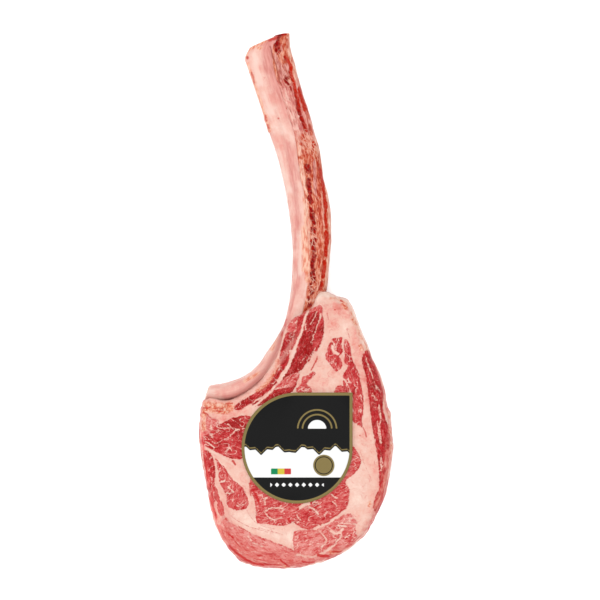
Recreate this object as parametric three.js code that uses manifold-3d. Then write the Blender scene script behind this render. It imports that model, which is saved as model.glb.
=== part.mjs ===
// Raw bone-in rib steak with a long curved rib left on as a handle, lying on its lower cut face.
// Millimetres, +Z up, +Y along the rib towards its free tip. The origin is under the middle of the whole.
// Four pieces: the rib bone, the strip of rib meat along its edge, the steak itself and a stuck-on label.
import * as THREE from "three";
import { mergeVertices } from "three/addons/utils/BufferGeometryUtils.js";
import Module from "manifold-3d";

const wasm = await Module();
wasm.setup();

// Driving sizes
const STEAK_THICKNESS = 42.5;
const CLEARANCE = 0.35;

// Colours as seen on the real cut
const COLOURS = {
  bone: 0xf1c0ae,
  trim: 0xb8543f,
  meat: 0xd0605f,
  label: 0x242424,
};

// The steak's outline seen from above, [x, y], clockwise from where its flap crosses the bone.
const STEAK_OUTLINE = [
  [-4, -14],
  [7, -7.5],
  [11.8, -3.8],
  [15.8, 4.4],
  [21.4, 7.7],
  [28.4, 4.5],
  [38.6, 1],
  [45.6, -14],
  [56.2, -39.6],
  [65.3, -62.5],
  [68.3, -77.5],
  [71.3, -85.5],
  [72.2, -98],
  [72.8, -114],
  [67.5, -143.5],
  [62.2, -157.9],
  [47, -181],
  [21.6, -195.4],
  [-9, -201.4],
  [-39.6, -196.6],
  [-51.6, -185],
  [-60.3, -170.6],
  [-68.5, -134.6],
  [-73, -97],
  [-68.4, -73.6],
  [-51, -74.2],
  [-32.2, -64],
  [-14.8, -41.2],
  [-8.2, -20.8],
];
const STEAK_CENTRE = [3, -105];

// Low swells and hollows of the cut face: [x, y, half length, half width, turn in degrees, height].
const FACE_RELIEF = {
  eye_muscle: [4, -152, 40, 26, 0, 1.3],
  rib_flap: [3, -36, 40, 8, 66, 2.2],
  flap_fold: [-14, -62, 26, 5, 48, 1.4],
  outer_cap: [62, -88, 46, 7, 100, 1.2],
  inner_cap: [42, -58, 34, 7, 102, 1],
  fat_wedge: [22, -42, 34, 13, 80, -1.3],
  left_muscle: [-54, -106, 18, 16, 0, 1.2],
  oval_muscle: [-45, -145, 15, 9, 65, 1],
  fat_seam: [-30, -166, 30, 6, 28, -1.1],
  outer_lip: [-26, -186, 34, 8, 16, -1.6],
};

// Cross-sections of the rib: [inner x, inner y, outer x, outer y, mid height, half depth].
// It is deep and narrow where it was sawn from the spine, and turns broad and shallow towards the tip.
const BONE_STATIONS = [
  [-64.5, -63.2, -68.3, -74.6, 21.5, 15.5],
  [-52, -61, -52.6, -75.4, 21.5, 17.2],
  [-39.2, -56.4, -37, -70, 21.5, 17.6],
  [-29.4, -48.6, -24.4, -59.6, 21.5, 17.6],
  [-22.2, -38.2, -13, -46.8, 21.5, 17.4],
  [-15.2, -28.2, -4.8, -34, 21.3, 17.2],
  [-9.4, -17.4, 2, -20.6, 21, 16.8],
  [-6, -3.4, 7.2, -4, 20.4, 16],
  [-3.6, 15.4, 11.8, 15.4, 19.4, 14.6],
  [-3.2, 41.6, 12.8, 41.6, 18.2, 13],
  [-6.4, 71.6, 10.2, 72.4, 17.2, 11.8],
  [-13.8, 105.4, 5, 109, 16.2, 10.8],
  [-22.4, 131.6, -0.6, 137, 15.4, 10],
  [-30.2, 157.8, -9.4, 164, 14.6, 9.6],
  [-36.6, 174.2, -13, 181, 14, 9.4],
  [-38.9, 182, -14.6, 191, 13.8, 9],
  [-35.4, 189.6, -13.2, 199, 13.8, 7.4],
];
const BONE = { rings: 60, sides: 28, squareness: 2.5, seamSide: 1, length: 360, unevenness: 0.3 };
// The long channel on the rib's face, across its width from -1 at the inner edge to 1 at the outer one.
const CHANNEL = { from: -0.45, to: 0.3, width: 0.24, depth: 1.3, starts: 0.4, fade: 0.1 };

// Cross-sections of the meat left on the rib's outer edge, from the tip down: same six values.
const TRIM_STATIONS = [
  [-17.2, 198, -5.2, 200.6, 13.8, 7],
  [-18.6, 188, -4.6, 189.6, 13.9, 9.4],
  [-17.2, 173, 0.2, 173, 14.2, 10.4],
  [-12.6, 158, 4, 158, 14.7, 10.7],
  [-7, 141.4, 9, 142.6, 15.2, 11],
  [-3, 128, 13, 128, 15.6, 11.3],
  [0.3, 111.4, 17.7, 111.4, 16.1, 11.8],
  [3, 92, 20.3, 92, 16.7, 12.4],
  [6, 71.6, 25.1, 71.6, 17.2, 13],
  [8, 49, 26, 49, 18, 13.6],
  [9, 27, 24.7, 28, 18.9, 14.4],
  [6.8, 8, 23, 9.4, 19.9, 15.4],
  [3.2, -8, 18.6, -5, 20.6, 16],
];
const TRIM = { rings: 50, sides: 18, squareness: 2.9, seamSide: -1, length: 450, unevenness: 0.7 };

// The seam where the strip grows along the rib, [x, y], from beyond the tip down into the steak. Both pieces
// end at an upright face that follows it.
const SEAM = [
  [-19.4, 206],
  [-18.2, 195.4],
  [-15.9, 180.4],
  [-12.9, 165.4],
  [-6.2, 150.4],
  [-2.4, 135.4],
  [2.1, 120.4],
  [3.6, 105.4],
  [5.4, 90.4],
  [9.6, 67.9],
  [11, 30.4],
  [8.8, 7.9],
  [4.3, -7.1],
  [4.2, -11],
];
const SEAM_STEPS = 60;
const SEAM_BLOCK = { right: 60, height: 60 };
// Along the seam both pieces have an almost square upper edge, and beside the steak a rounder one.
const SEAM_EDGE = { squareness: 7, lowSquareness: 3.6, roundBelow: -32, squareAbove: -16 };

// The steak's rim is rounded alike above and below: how far that reaches in from the outline, and how far
// down the side. The side bulges a little at half its height.
const RIM = { inset: 6.5, drop: 8.5, steps: 4 };
const SIDE = { bulge: 0.8, wave: 2 };
const STEAK_SEGMENTS = 120;
const FACE_RINGS = 9;
const SOLE_RINGS = 3;

// The label is a round sheet with one square corner.
const LABEL_CENTRE = [0.6, -110.3];
const LABEL_RADIUS = 41.5;
const LABEL_THICKNESS = 0.5;
const LABEL_SEGMENTS = 60;
const LABEL_RINGS = 4;

// Joins equal rings of points, each a closed loop, into one closed surface with a fan at both ends.
function skin(rings) {
  const sides = rings[0].length;
  const points = rings.flat();
  const triangles = [];
  rings.slice(1).forEach((_, r) => {
    for (let k = 0; k < sides; k++) {
      const next = (k + 1) % sides;
      const [a, b] = [r * sides + k, r * sides + next];
      const [c, d] = [a + sides, b + sides];
      triangles.push(a, b, d, a, d, c);
    }
  });
  const middleOf = (ring) =>
    ring.reduce((sum, p) => sum.add(p), new THREE.Vector3()).divideScalar(ring.length);
  const last = (rings.length - 1) * sides;
  const start = points.push(middleOf(rings[0])) - 1;
  const end = points.push(middleOf(rings.at(-1))) - 1;
  for (let k = 0; k < sides; k++) {
    const next = (k + 1) % sides;
    triangles.push(start, next, k, end, last + k, last + next);
  }
  return new THREE.BufferGeometry().setFromPoints(points).setIndex(triangles);
}

function solidFrom(geometry) {
  geometry.deleteAttribute("normal");
  geometry.deleteAttribute("uv");
  const merged = mergeVertices(geometry, 1e-4);
  const vertProperties = merged.attributes.position.array;
  const triVerts = new Uint32Array(merged.index.array);
  const solid = new wasm.Manifold(new wasm.Mesh({ numProp: 3, vertProperties, triVerts }));
  if (solid.volume() > 0) return solid;
  triVerts.reverse();
  return new wasm.Manifold(new wasm.Mesh({ numProp: 3, vertProperties, triVerts }));
}

function geometryFrom(solid) {
  const mesh = solid.getMesh();
  const geometry = new THREE.BufferGeometry();
  geometry.setAttribute("position", new THREE.BufferAttribute(new Float32Array(mesh.vertProperties), 3));
  geometry.setIndex(new THREE.BufferAttribute(new Uint32Array(mesh.triVerts), 1));
  return geometry;
}

// The largest closed body of a cut, so that no loose scrap is kept.
function largestBody(solid) {
  return solid.decompose().reduce((a, b) => (b.volume() > a.volume() ? b : a));
}

// Slow unevenness of soft tissue, between about -1 and 1.
function lumps(along, around) {
  return (
    0.5 * Math.sin(0.09 * along + 2 * around + 0.4) +
    0.3 * Math.sin(0.21 * along - 3 * around + 1.7) +
    0.2 * Math.sin(0.37 * along + 5 * around + 2.9)
  );
}

// Where a station table stands at a share t of its length, on smooth curves through the stations.
function stationCurve(stations) {
  const through = (pick) => new THREE.CatmullRomCurve3(stations.map(pick), false, "centripetal");
  const inner = through((s) => new THREE.Vector3(s[0], s[1], 0));
  const outer = through((s) => new THREE.Vector3(s[2], s[3], 0));
  const depth = through((s, i) => new THREE.Vector3(s[4], s[5], i));
  return (t) => ({ inner: inner.getPoint(t), outer: outer.getPoint(t), depth: depth.getPoint(t) });
}

// A rounded-box section standing upright between the inner and the outer edge, grown by some millimetres.
function section(place, { sides, squareness, seamSide }, grow, relief) {
  const middle = place.inner.clone().add(place.outer).divideScalar(2);
  const across = place.outer.clone().sub(place.inner).divideScalar(2);
  const halfWidth = across.length();
  across.normalize();
  const { smoothstep, lerp } = THREE.MathUtils;
  const square = smoothstep(middle.y, SEAM_EDGE.roundBelow, SEAM_EDGE.squareAbove);
  const edgeSquareness = lerp(SEAM_EDGE.lowSquareness, SEAM_EDGE.squareness, square);
  return Array.from({ length: sides }, (_, k) => {
    const angle = (2 * Math.PI * k) / sides;
    const [cos, sin] = [Math.cos(angle), Math.sin(angle)];
    const bySeam = cos * seamSide > 0 && sin > 0;
    const power = 2 / (bySeam ? edgeSquareness : squareness);
    const u = Math.sign(cos) * Math.abs(cos) ** power;
    const w = Math.sign(sin) * Math.abs(sin) ** power;
    const swell = relief(u, w, angle);
    const p = middle.clone().addScaledVector(across, u * (halfWidth + grow));
    p.z = place.depth.x + w * (place.depth.y + grow) + w * swell;
    return p;
  });
}

// How far along its length, as a share, a ring stands, and the channel's middle and depth there.
function channelAt(t) {
  const { smoothstep, lerp } = THREE.MathUtils;
  const middle = lerp(CHANNEL.from, CHANNEL.to, smoothstep(t, CHANNEL.starts, 1));
  const depth = CHANNEL.depth * smoothstep(t, CHANNEL.starts - CHANNEL.fade, CHANNEL.starts + CHANNEL.fade);
  return { middle, depth };
}

function ribSolid(grow) {
  const at = stationCurve(BONE_STATIONS);
  const rings = [];
  for (let i = 0; i <= BONE.rings; i++) {
    const t = i / BONE.rings;
    const { middle, depth } = channelAt(t);
    const relief = (u, w, angle) => {
      const dip = w > 0 ? depth * Math.exp(-(((u - middle) / CHANNEL.width) ** 2)) : 0;
      return BONE.unevenness * lumps(t * BONE.length, angle) - dip;
    };
    rings.push(section(at(t), BONE, grow, relief));
  }
  return solidFrom(skin(rings));
}

function trimSolid(grow) {
  const at = stationCurve(TRIM_STATIONS);
  const rings = [];
  for (let i = 0; i <= TRIM.rings; i++) {
    const t = i / TRIM.rings;
    const relief = (u, w, angle) => TRIM.unevenness * lumps(t * TRIM.length, angle);
    rings.push(section(at(t), TRIM, grow, relief));
  }
  return solidFrom(skin(rings));
}

// A tall block on the strip's side of the seam, moved right by some millimetres.
function stripSide(shift) {
  const seam = new THREE.CatmullRomCurve3(
    SEAM.map(([x, y]) => new THREE.Vector3(x + shift, y, 0)),
    false,
    "centripetal",
  ).getSpacedPoints(SEAM_STEPS);
  const shape = new THREE.Shape(seam.map((p) => new THREE.Vector2(p.x, p.y)));
  shape.lineTo(SEAM_BLOCK.right, seam.at(-1).y);
  shape.lineTo(SEAM_BLOCK.right, seam[0].y);
  shape.closePath();
  return solidFrom(new THREE.ExtrudeGeometry(shape, { depth: SEAM_BLOCK.height, bevelEnabled: false }));
}

// Height of the upper cut face above the board.
function faceHeight(x, y) {
  let z = STEAK_THICKNESS - 1;
  for (const [cx, cy, length, width, turn, height] of Object.values(FACE_RELIEF)) {
    const a = THREE.MathUtils.degToRad(turn);
    const along = ((x - cx) * Math.cos(a) + (y - cy) * Math.sin(a)) / length;
    const across = ((y - cy) * Math.cos(a) - (x - cx) * Math.sin(a)) / width;
    z += height * Math.exp(-(along ** 2 + across ** 2));
  }
  return z;
}

// Evenly spaced points along a smooth closed curve through the outline.
function evenLoop(points, count) {
  const curve = new THREE.CatmullRomCurve3(
    points.map(([x, y]) => new THREE.Vector3(x, y, 0)),
    true,
    "centripetal",
  );
  curve.arcLengthDivisions = 2000;
  return curve.getSpacedPoints(count).slice(0, count);
}

// The rim's quarter round as [inset from the outline, drop from the face], from the face outwards.
function rimCurve() {
  return Array.from({ length: RIM.steps + 1 }, (_, s) => {
    const a = (s / RIM.steps) * (Math.PI / 2);
    return [SIDE.bulge + RIM.inset * (1 - Math.sin(a)), RIM.drop * (1 - Math.cos(a))];
  });
}

function steakSolid() {
  const centre = new THREE.Vector3(...STEAK_CENTRE, 0);
  const outline = evenLoop(STEAK_OUTLINE, STEAK_SEGMENTS);
  // A loop inside the outline by some millimetres, then shrunk to a share, at each point's given height.
  const loop = (inset, share, height) =>
    outline.map((p, k) => {
      const reach = (p.distanceTo(centre) - inset) * share;
      const q = p.clone().sub(centre).setLength(reach).add(centre);
      q.z = height(q, k);
      return q;
    });
  const face = (q) => faceHeight(q.x, q.y);
  const rim = rimCurve();
  const widest = SIDE.bulge + RIM.inset;
  const rings = [];
  for (let r = 1; r < FACE_RINGS; r++) rings.push(loop(widest, Math.sqrt(r / FACE_RINGS), face));
  for (const [inset, drop] of rim) rings.push(loop(inset, 1, (q) => face(q) - drop));
  rings.push(loop(0, 1, (q, k) => STEAK_THICKNESS / 2 + SIDE.wave * lumps(k * 5, 0)));
  for (const [inset, drop] of rim.reverse()) rings.push(loop(inset, 1, () => drop));
  for (let r = SOLE_RINGS - 1; r > 0; r--) rings.push(loop(widest, Math.sqrt(r / SOLE_RINGS), () => 0));
  return solidFrom(skin(rings));
}

// A round label with one square corner, following the cut face just above it.
function labelSolid() {
  const [cx, cy] = LABEL_CENTRE;
  const shape = new THREE.Shape();
  shape.absarc(0, 0, LABEL_RADIUS, Math.PI / 2, 2 * Math.PI, false);
  shape.lineTo(LABEL_RADIUS, LABEL_RADIUS);
  shape.closePath();
  const edge = shape.getSpacedPoints(LABEL_SEGMENTS).slice(0, LABEL_SEGMENTS);
  const ring = (share, lift) =>
    edge.map((p) => {
      const [x, y] = [cx + p.x * share, cy + p.y * share];
      return new THREE.Vector3(x, y, faceHeight(x, y) + lift);
    });
  const rings = [];
  for (let r = 1; r <= LABEL_RINGS; r++) rings.push(ring(r / LABEL_RINGS, CLEARANCE + LABEL_THICKNESS));
  for (let r = LABEL_RINGS; r >= 1; r--) rings.push(ring(r / LABEL_RINGS, CLEARANCE));
  return solidFrom(skin(rings));
}

function piece(name, solid, color, roughness) {
  const material = new THREE.MeshStandardMaterial({ color, roughness, metalness: 0 });
  const mesh = new THREE.Mesh(geometryFrom(solid), material);
  mesh.name = name;
  return mesh;
}

const rib = largestBody(ribSolid(0).subtract(stripSide(-CLEARANCE / 2)));
const trim = largestBody(trimSolid(0).intersect(stripSide(CLEARANCE / 2)));
const steak = largestBody(steakSolid().subtract(ribSolid(CLEARANCE)).subtract(trimSolid(CLEARANCE)));

const tomahawk = new THREE.Group();
tomahawk.add(piece("rib_bone", rib, COLOURS.bone, 0.45));
tomahawk.add(piece("rib_trim", trim, COLOURS.trim, 0.5));
tomahawk.add(piece("steak_meat", steak, COLOURS.meat, 0.4));
tomahawk.add(piece("label", labelSolid(), COLOURS.label, 0.3));

export default tomahawk;
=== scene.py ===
# Raw tomahawk steak, lying on its lower cut face with the labelled face up, seen from straight above.
# Lengths are millimetres in the row frame until a mesh is made: +Y along the rib to its tip, +Z up.
import functools
import math

import bpy
import numpy as np
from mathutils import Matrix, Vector
from mathutils.geometry import delaunay_2d_cdt


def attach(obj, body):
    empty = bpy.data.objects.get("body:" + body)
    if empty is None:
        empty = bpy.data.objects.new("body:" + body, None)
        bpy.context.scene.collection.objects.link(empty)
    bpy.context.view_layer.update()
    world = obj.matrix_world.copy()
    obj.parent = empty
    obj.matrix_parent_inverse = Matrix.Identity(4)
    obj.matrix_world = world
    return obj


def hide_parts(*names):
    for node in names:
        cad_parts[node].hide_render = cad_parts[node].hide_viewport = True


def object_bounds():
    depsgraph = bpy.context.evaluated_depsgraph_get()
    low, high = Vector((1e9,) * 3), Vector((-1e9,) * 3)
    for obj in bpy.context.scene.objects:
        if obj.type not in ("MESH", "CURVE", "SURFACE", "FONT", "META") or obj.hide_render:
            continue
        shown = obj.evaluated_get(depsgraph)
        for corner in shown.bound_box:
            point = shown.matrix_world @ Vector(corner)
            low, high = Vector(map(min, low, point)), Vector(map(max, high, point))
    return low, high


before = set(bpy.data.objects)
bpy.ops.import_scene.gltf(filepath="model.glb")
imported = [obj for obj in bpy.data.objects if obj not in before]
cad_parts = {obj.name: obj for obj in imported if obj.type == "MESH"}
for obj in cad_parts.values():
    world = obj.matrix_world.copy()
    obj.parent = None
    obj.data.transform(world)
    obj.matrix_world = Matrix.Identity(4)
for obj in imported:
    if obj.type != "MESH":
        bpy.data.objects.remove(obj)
cad_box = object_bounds()

METRES = 0.001

# The steak's outline from above, as x and y, clockwise from where its flap meets the rib
STEAK_OUTLINE = [
    (-4, -14), (7, -7.5), (11.8, -3.8), (15.8, 4.4), (21.4, 7.7), (28.4, 4.5), (38.6, 1), (45.6, -14),
    (56.2, -39.6), (65.3, -62.5), (68.3, -77.5), (71.3, -85.5), (72.2, -98), (72.8, -114), (67.5, -143.5),
    (62.2, -157.9), (47, -181), (21.6, -195.4), (-9, -201.4), (-39.6, -196.6), (-51.6, -185),
    (-60.3, -170.6), (-68.5, -134.6), (-73, -97), (-68.4, -73.6), (-51, -74.2), (-32.2, -64),
    (-14.8, -41.2), (-8.2, -20.8),
]
STEAK_CENTRE = (3, -105)
STEAK_THICKNESS = 42.5
RIM_INSET, RIM_DROP = 6.5, 8.5
SIDE_BULGE = 0.8

# Low swells and hollows of the cut face: x, y, half length, half width, turn in degrees and height
FACE_RELIEF = {
    "eye_muscle": (4, -152, 40, 26, 0, 1.3),
    "rib_flap": (3, -36, 40, 8, 66, 2.2),
    "flap_fold": (-14, -62, 26, 5, 48, 1.4),
    "outer_cap": (62, -88, 46, 7, 100, 1.2),
    "inner_cap": (42, -58, 34, 7, 102, 1),
    "fat_wedge": (22, -42, 34, 13, 80, -1.3),
    "left_muscle": (-54, -106, 18, 16, 0, 1.2),
    "oval_muscle": (-45, -145, 15, 9, 65, 1),
    "fat_seam": (-30, -166, 30, 6, 28, -1.1),
    "outer_lip": (-26, -186, 34, 8, 16, -1.6),
}

# Sections of the rib and of the strip along it: x and y of the two edges, middle height, half depth
BONE_STATIONS = [
    (-64.5, -63.2, -68.3, -74.6, 21.5, 15.5), (-52, -61, -52.6, -75.4, 21.5, 17.2),
    (-39.2, -56.4, -37, -70, 21.5, 17.6), (-29.4, -48.6, -24.4, -59.6, 21.5, 17.6),
    (-22.2, -38.2, -13, -46.8, 21.5, 17.4), (-15.2, -28.2, -4.8, -34, 21.3, 17.2),
    (-9.4, -17.4, 2, -20.6, 21, 16.8), (-6, -3.4, 7.2, -4, 20.4, 16),
    (-3.6, 15.4, 11.8, 15.4, 19.4, 14.6), (-3.2, 41.6, 12.8, 41.6, 18.2, 13),
    (-6.4, 71.6, 10.2, 72.4, 17.2, 11.8), (-13.8, 105.4, 5, 109, 16.2, 10.8),
    (-22.4, 131.6, -0.6, 137, 15.4, 10), (-30.2, 157.8, -9.4, 164, 14.6, 9.6),
    (-36.6, 174.2, -13, 181, 14, 9.4), (-38.9, 182, -14.6, 191, 13.8, 9),
    (-35.4, 189.6, -13.2, 199, 13.8, 7.4),
]
TRIM_STATIONS = [
    (-17.2, 198, -5.2, 200.6, 13.8, 7), (-18.6, 188, -4.6, 189.6, 13.9, 9.4),
    (-17.2, 173, 0.2, 173, 14.2, 10.4), (-12.6, 158, 4, 158, 14.7, 10.7),
    (-7, 141.4, 9, 142.6, 15.2, 11), (-3, 128, 13, 128, 15.6, 11.3),
    (0.3, 111.4, 17.7, 111.4, 16.1, 11.8), (3, 92, 20.3, 92, 16.7, 12.4),
    (6, 71.6, 25.1, 71.6, 17.2, 13), (8, 49, 26, 49, 18, 13.6),
    (9, 27, 24.7, 28, 18.9, 14.4), (6.8, 8, 23, 9.4, 19.9, 15.4),
    (3.2, -8, 18.6, -5, 20.6, 16), (1.8, -12, 17.4, -10, 20.6, 16),
]
BONE_SQUARENESS, TRIM_SQUARENESS = 2.5, 2.9
# Their upper edges at the seam between them, beside the steak and further up, and where along y it changes
LOW_SEAM_SQUARENESS, SEAM_SQUARENESS = 3.6, 7
SEAM_CHANGE = (-32, -16)

LABEL_CENTRE = (0.6, -110.3)
LABEL_RADIUS = 41.5
LABEL_THICKNESS = 0.5
LABEL_GAP = 0.35

# Muscles that show on the cut face: tone from 0 pale to 1 dark, marbling from 0 to 1, the way their
# fibres run in degrees, and the outline.
MUSCLES = {
    "flap_skin": (0.28, 0.3, 30, [
        (-3.5, -14.5), (0.5, -11), (6.5, -8.5), (8, -9.5), (5.5, -11), (1.5, -13), (-0.5, -18),
        (-1.5, -22.5), (-4.5, -24), (-6.8, -22), (-5.5, -17.5)]),
    "bone_flap": (0.7, 0.15, 62, [
        (1, -13.5), (6.5, -10.5), (6.3, -14.5), (4, -20.5), (2, -26), (-0.5, -31.5), (-3.5, -36.5),
        (-4.5, -34), (-2, -28), (0, -21)]),
    "strip_one": (0.85, 0.4, 55, [
        (-6.8, -24), (-4.5, -24.8), (-1.9, -23.5), (-2.2, -26.5), (-3.8, -31), (-5, -36), (-6, -45.5),
        (-9, -52), (-13, -59.5), (-16.5, -65), (-23.5, -69.5), (-33, -76), (-43.5, -82), (-46, -80.5),
        (-43.5, -77), (-34, -71.5), (-28.5, -68), (-23.5, -63.5), (-19, -57.5), (-14.5, -50.5),
        (-12.5, -44.5), (-11.5, -38.5), (-9, -29.5)]),
    "strip_two": (0.9, 0.12, 64, [
        (9.2, -9.5), (14, -7.8), (17, -9.5), (16.5, -16), (14.5, -22), (12.2, -28.5), (11.5, -32),
        (13, -36), (11, -42), (6.5, -48), (3.5, -52), (0, -53.5), (-4, -54.5), (-9, -58.5), (-13, -61.5),
        (-7.5, -54), (-2.5, -43), (0.5, -35.5), (3, -28), (5, -22), (6, -16)]),
    "strip_tip": (0.25, 0.2, 55, [
        (8, -7.5), (13, -5.6), (18, -3.8), (19.5, -8), (18.5, -11.5), (16, -8.5), (12, -8.5), (9, -9.5)]),
    "strip_edge": (0.66, 0.1, 75, [
        (19.2, -11), (20.3, -20), (19.8, -27), (17.5, -33), (14.5, -38), (12.2, -34), (12.4, -29.5),
        (14.6, -22.5), (17.2, -16)]),
    "strip_fold": (0.22, 0.8, 40, [
        (2, -54), (-2, -55), (-7, -57), (-11, -60), (-13.5, -62.5), (-15.5, -66), (-8, -65.5), (-3, -64),
        (0.5, -60), (2, -57)]),
    "strip_low": (0.88, 0.2, 30, [
        (-15.5, -66.5), (-8, -65.8), (-3, -64.5), (0.3, -61), (-1, -65), (-5, -69.5), (-12, -73),
        (-25.5, -78), (-33, -77.5), (-26, -74), (-20, -70.5)]),
    "isle_a": (0.5, 0.7, 95, [
        (25.5, -32), (27.5, -29), (30.5, -28), (33.5, -27.5), (34.5, -29), (33.5, -31), (34.3, -38.5),
        (32, -42), (33.5, -45.5), (34, -49), (32, -52), (30, -53), (27.5, -50), (23, -44.5), (22, -42.5),
        (23, -38.5), (24, -35)]),
    "isle_b": (0.55, 0.8, 105, [
        (36, -31), (37.5, -29.5), (39, -32), (40.5, -36.5), (42.2, -45.5), (46.3, -54), (48.5, -65.5),
        (50, -77), (49.5, -84), (48.5, -88.5), (49.5, -94.5), (46, -92.5), (42, -89.5), (42, -71.5),
        (39, -62.5), (35.5, -56), (37.5, -52), (39, -49), (36.5, -46), (36, -42.5), (36.5, -38.5)]),
    "isle_c": (0.6, 0.3, 105, [
        (35, -60.5), (36.5, -59.5), (38, -62.5), (39.5, -68), (37.5, -69), (36, -65)]),
    "isle_d": (0.5, 0.3, 0, [(28.5, -69), (30, -65), (32, -63.5), (34.5, -64), (36.5, -69.5)]),
    "isle_e": (0.45, 0.5, 40, [
        (4.5, -59.5), (5, -57.5), (7.5, -56.5), (12.5, -53.5), (14, -54.5), (12.5, -56.5), (9.5, -59.5),
        (7.5, -62.5), (10.5, -65.5), (11, -69), (1.5, -69.5), (0.5, -66.5), (3, -64)]),
    "outer": (0.76, 0.15, 103, [
        (53, -37), (59, -42.5), (65, -54.5), (67, -63.5), (66, -69), (64.9, -75), (64.8, -83),
        (66.5, -89.5), (69.5, -95.5), (70.5, -101.5), (69, -116), (67.5, -127), (69, -133), (68, -139),
        (65, -149.5), (61, -159), (58.3, -157.5), (59.4, -147.5), (62, -142), (62.5, -134.5),
        (61.5, -119.5), (59, -104.5), (56, -86.5), (54, -69.5), (51, -50.5), (49.5, -43)]),
    "eye": (0.4, 0.6, 15, [
        (-34.5, -134.5), (-33.5, -142), (-31, -150), (-29.8, -157), (-30, -163), (-28.5, -166),
        (-19.5, -167), (-16, -168), (-10, -168), (-5.5, -167), (-3, -165.5), (0, -167), (5, -170),
        (10.5, -171.5), (19.5, -168.5), (30.5, -161.5), (37.5, -155), (39.5, -146), (39, -140.5),
        (36.5, -135.5), (44, -128.5), (47, -125), (48, -119.5), (42, -109), (25.5, -97), (-12, -97),
        (-31, -112)]),
    "oval": (0.4, 0.6, 60, [
        (-60, -118), (-58, -121), (-55, -124), (-50.5, -130), (-47.5, -134.5), (-43.5, -137),
        (-40.5, -140), (-37, -148), (-36, -152), (-38, -155.3), (-44.5, -156.8), (-48, -155),
        (-51.3, -153.3), (-52, -146), (-53.5, -143), (-57, -136), (-58.5, -125.5)]),
    "left_edge": (0.65, 0.4, 95, [
        (-70, -113.5), (-65.5, -113), (-61.5, -122), (-61, -131.5), (-61.5, -137), (-59.5, -148),
        (-61.5, -151), (-61, -157), (-59.5, -161.5), (-61, -164.5), (-64, -155.5), (-67.5, -136),
        (-69, -125.5)]),
    "left_patch": (0.4, 0.5, 90, [
        (-60.5, -140.5), (-59.2, -142), (-58.2, -147), (-56, -151), (-54.4, -156), (-54, -159.5),
        (-56.5, -161), (-58.3, -156), (-58.6, -151), (-60, -146)]),
    "upper_rag": (0.08, 0.9, -25, [
        (-66.5, -85.5), (-63, -88), (-58, -90.5), (-62, -96), (-65, -99.5), (-70, -101), (-67.5, -94)]),
    "upper_left": (0.64, 0.55, -20, [
        (-54.5, -91.5), (-50.5, -89), (-45, -87.5), (-35.5, -86.5), (-30, -89.5), (-34.5, -104.5),
        (-40.5, -118), (-47.5, -118), (-55.5, -115), (-63, -111.5), (-70.5, -107), (-71.5, -103),
        (-66, -100), (-60.5, -94.5)]),
    "lip": (0.06, 0.45, -28, [
        (-58, -168.5), (-52.5, -162.5), (-51, -165.5), (-42, -170), (-32.5, -175), (-21, -179.5),
        (-8.5, -184), (-1, -187.5), (9, -191.5), (16.5, -191), (25.5, -185.5), (36.5, -183.5),
        (40.5, -185.5), (30.5, -191), (18, -197), (3, -200), (-7, -201.5), (-25.5, -199.5), (-40, -196),
        (-47.5, -189.5), (-52.5, -182), (-59.5, -171.5)]),
    "lower_right": (0.16, 0.7, 20, [
        (-1.5, -173), (3, -172), (14, -171.5), (20, -169), (26, -166), (31.5, -163), (36.5, -160),
        (42, -160), (45.5, -163), (44, -170.5), (45, -174.3), (44.5, -181), (38, -187.5), (31, -189),
        (25.5, -185.5), (16.5, -191), (9, -191.5), (0.5, -190)]),
}

# Marks on the meat and the bone, as rows of a width and the points of a line seen from above

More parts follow.
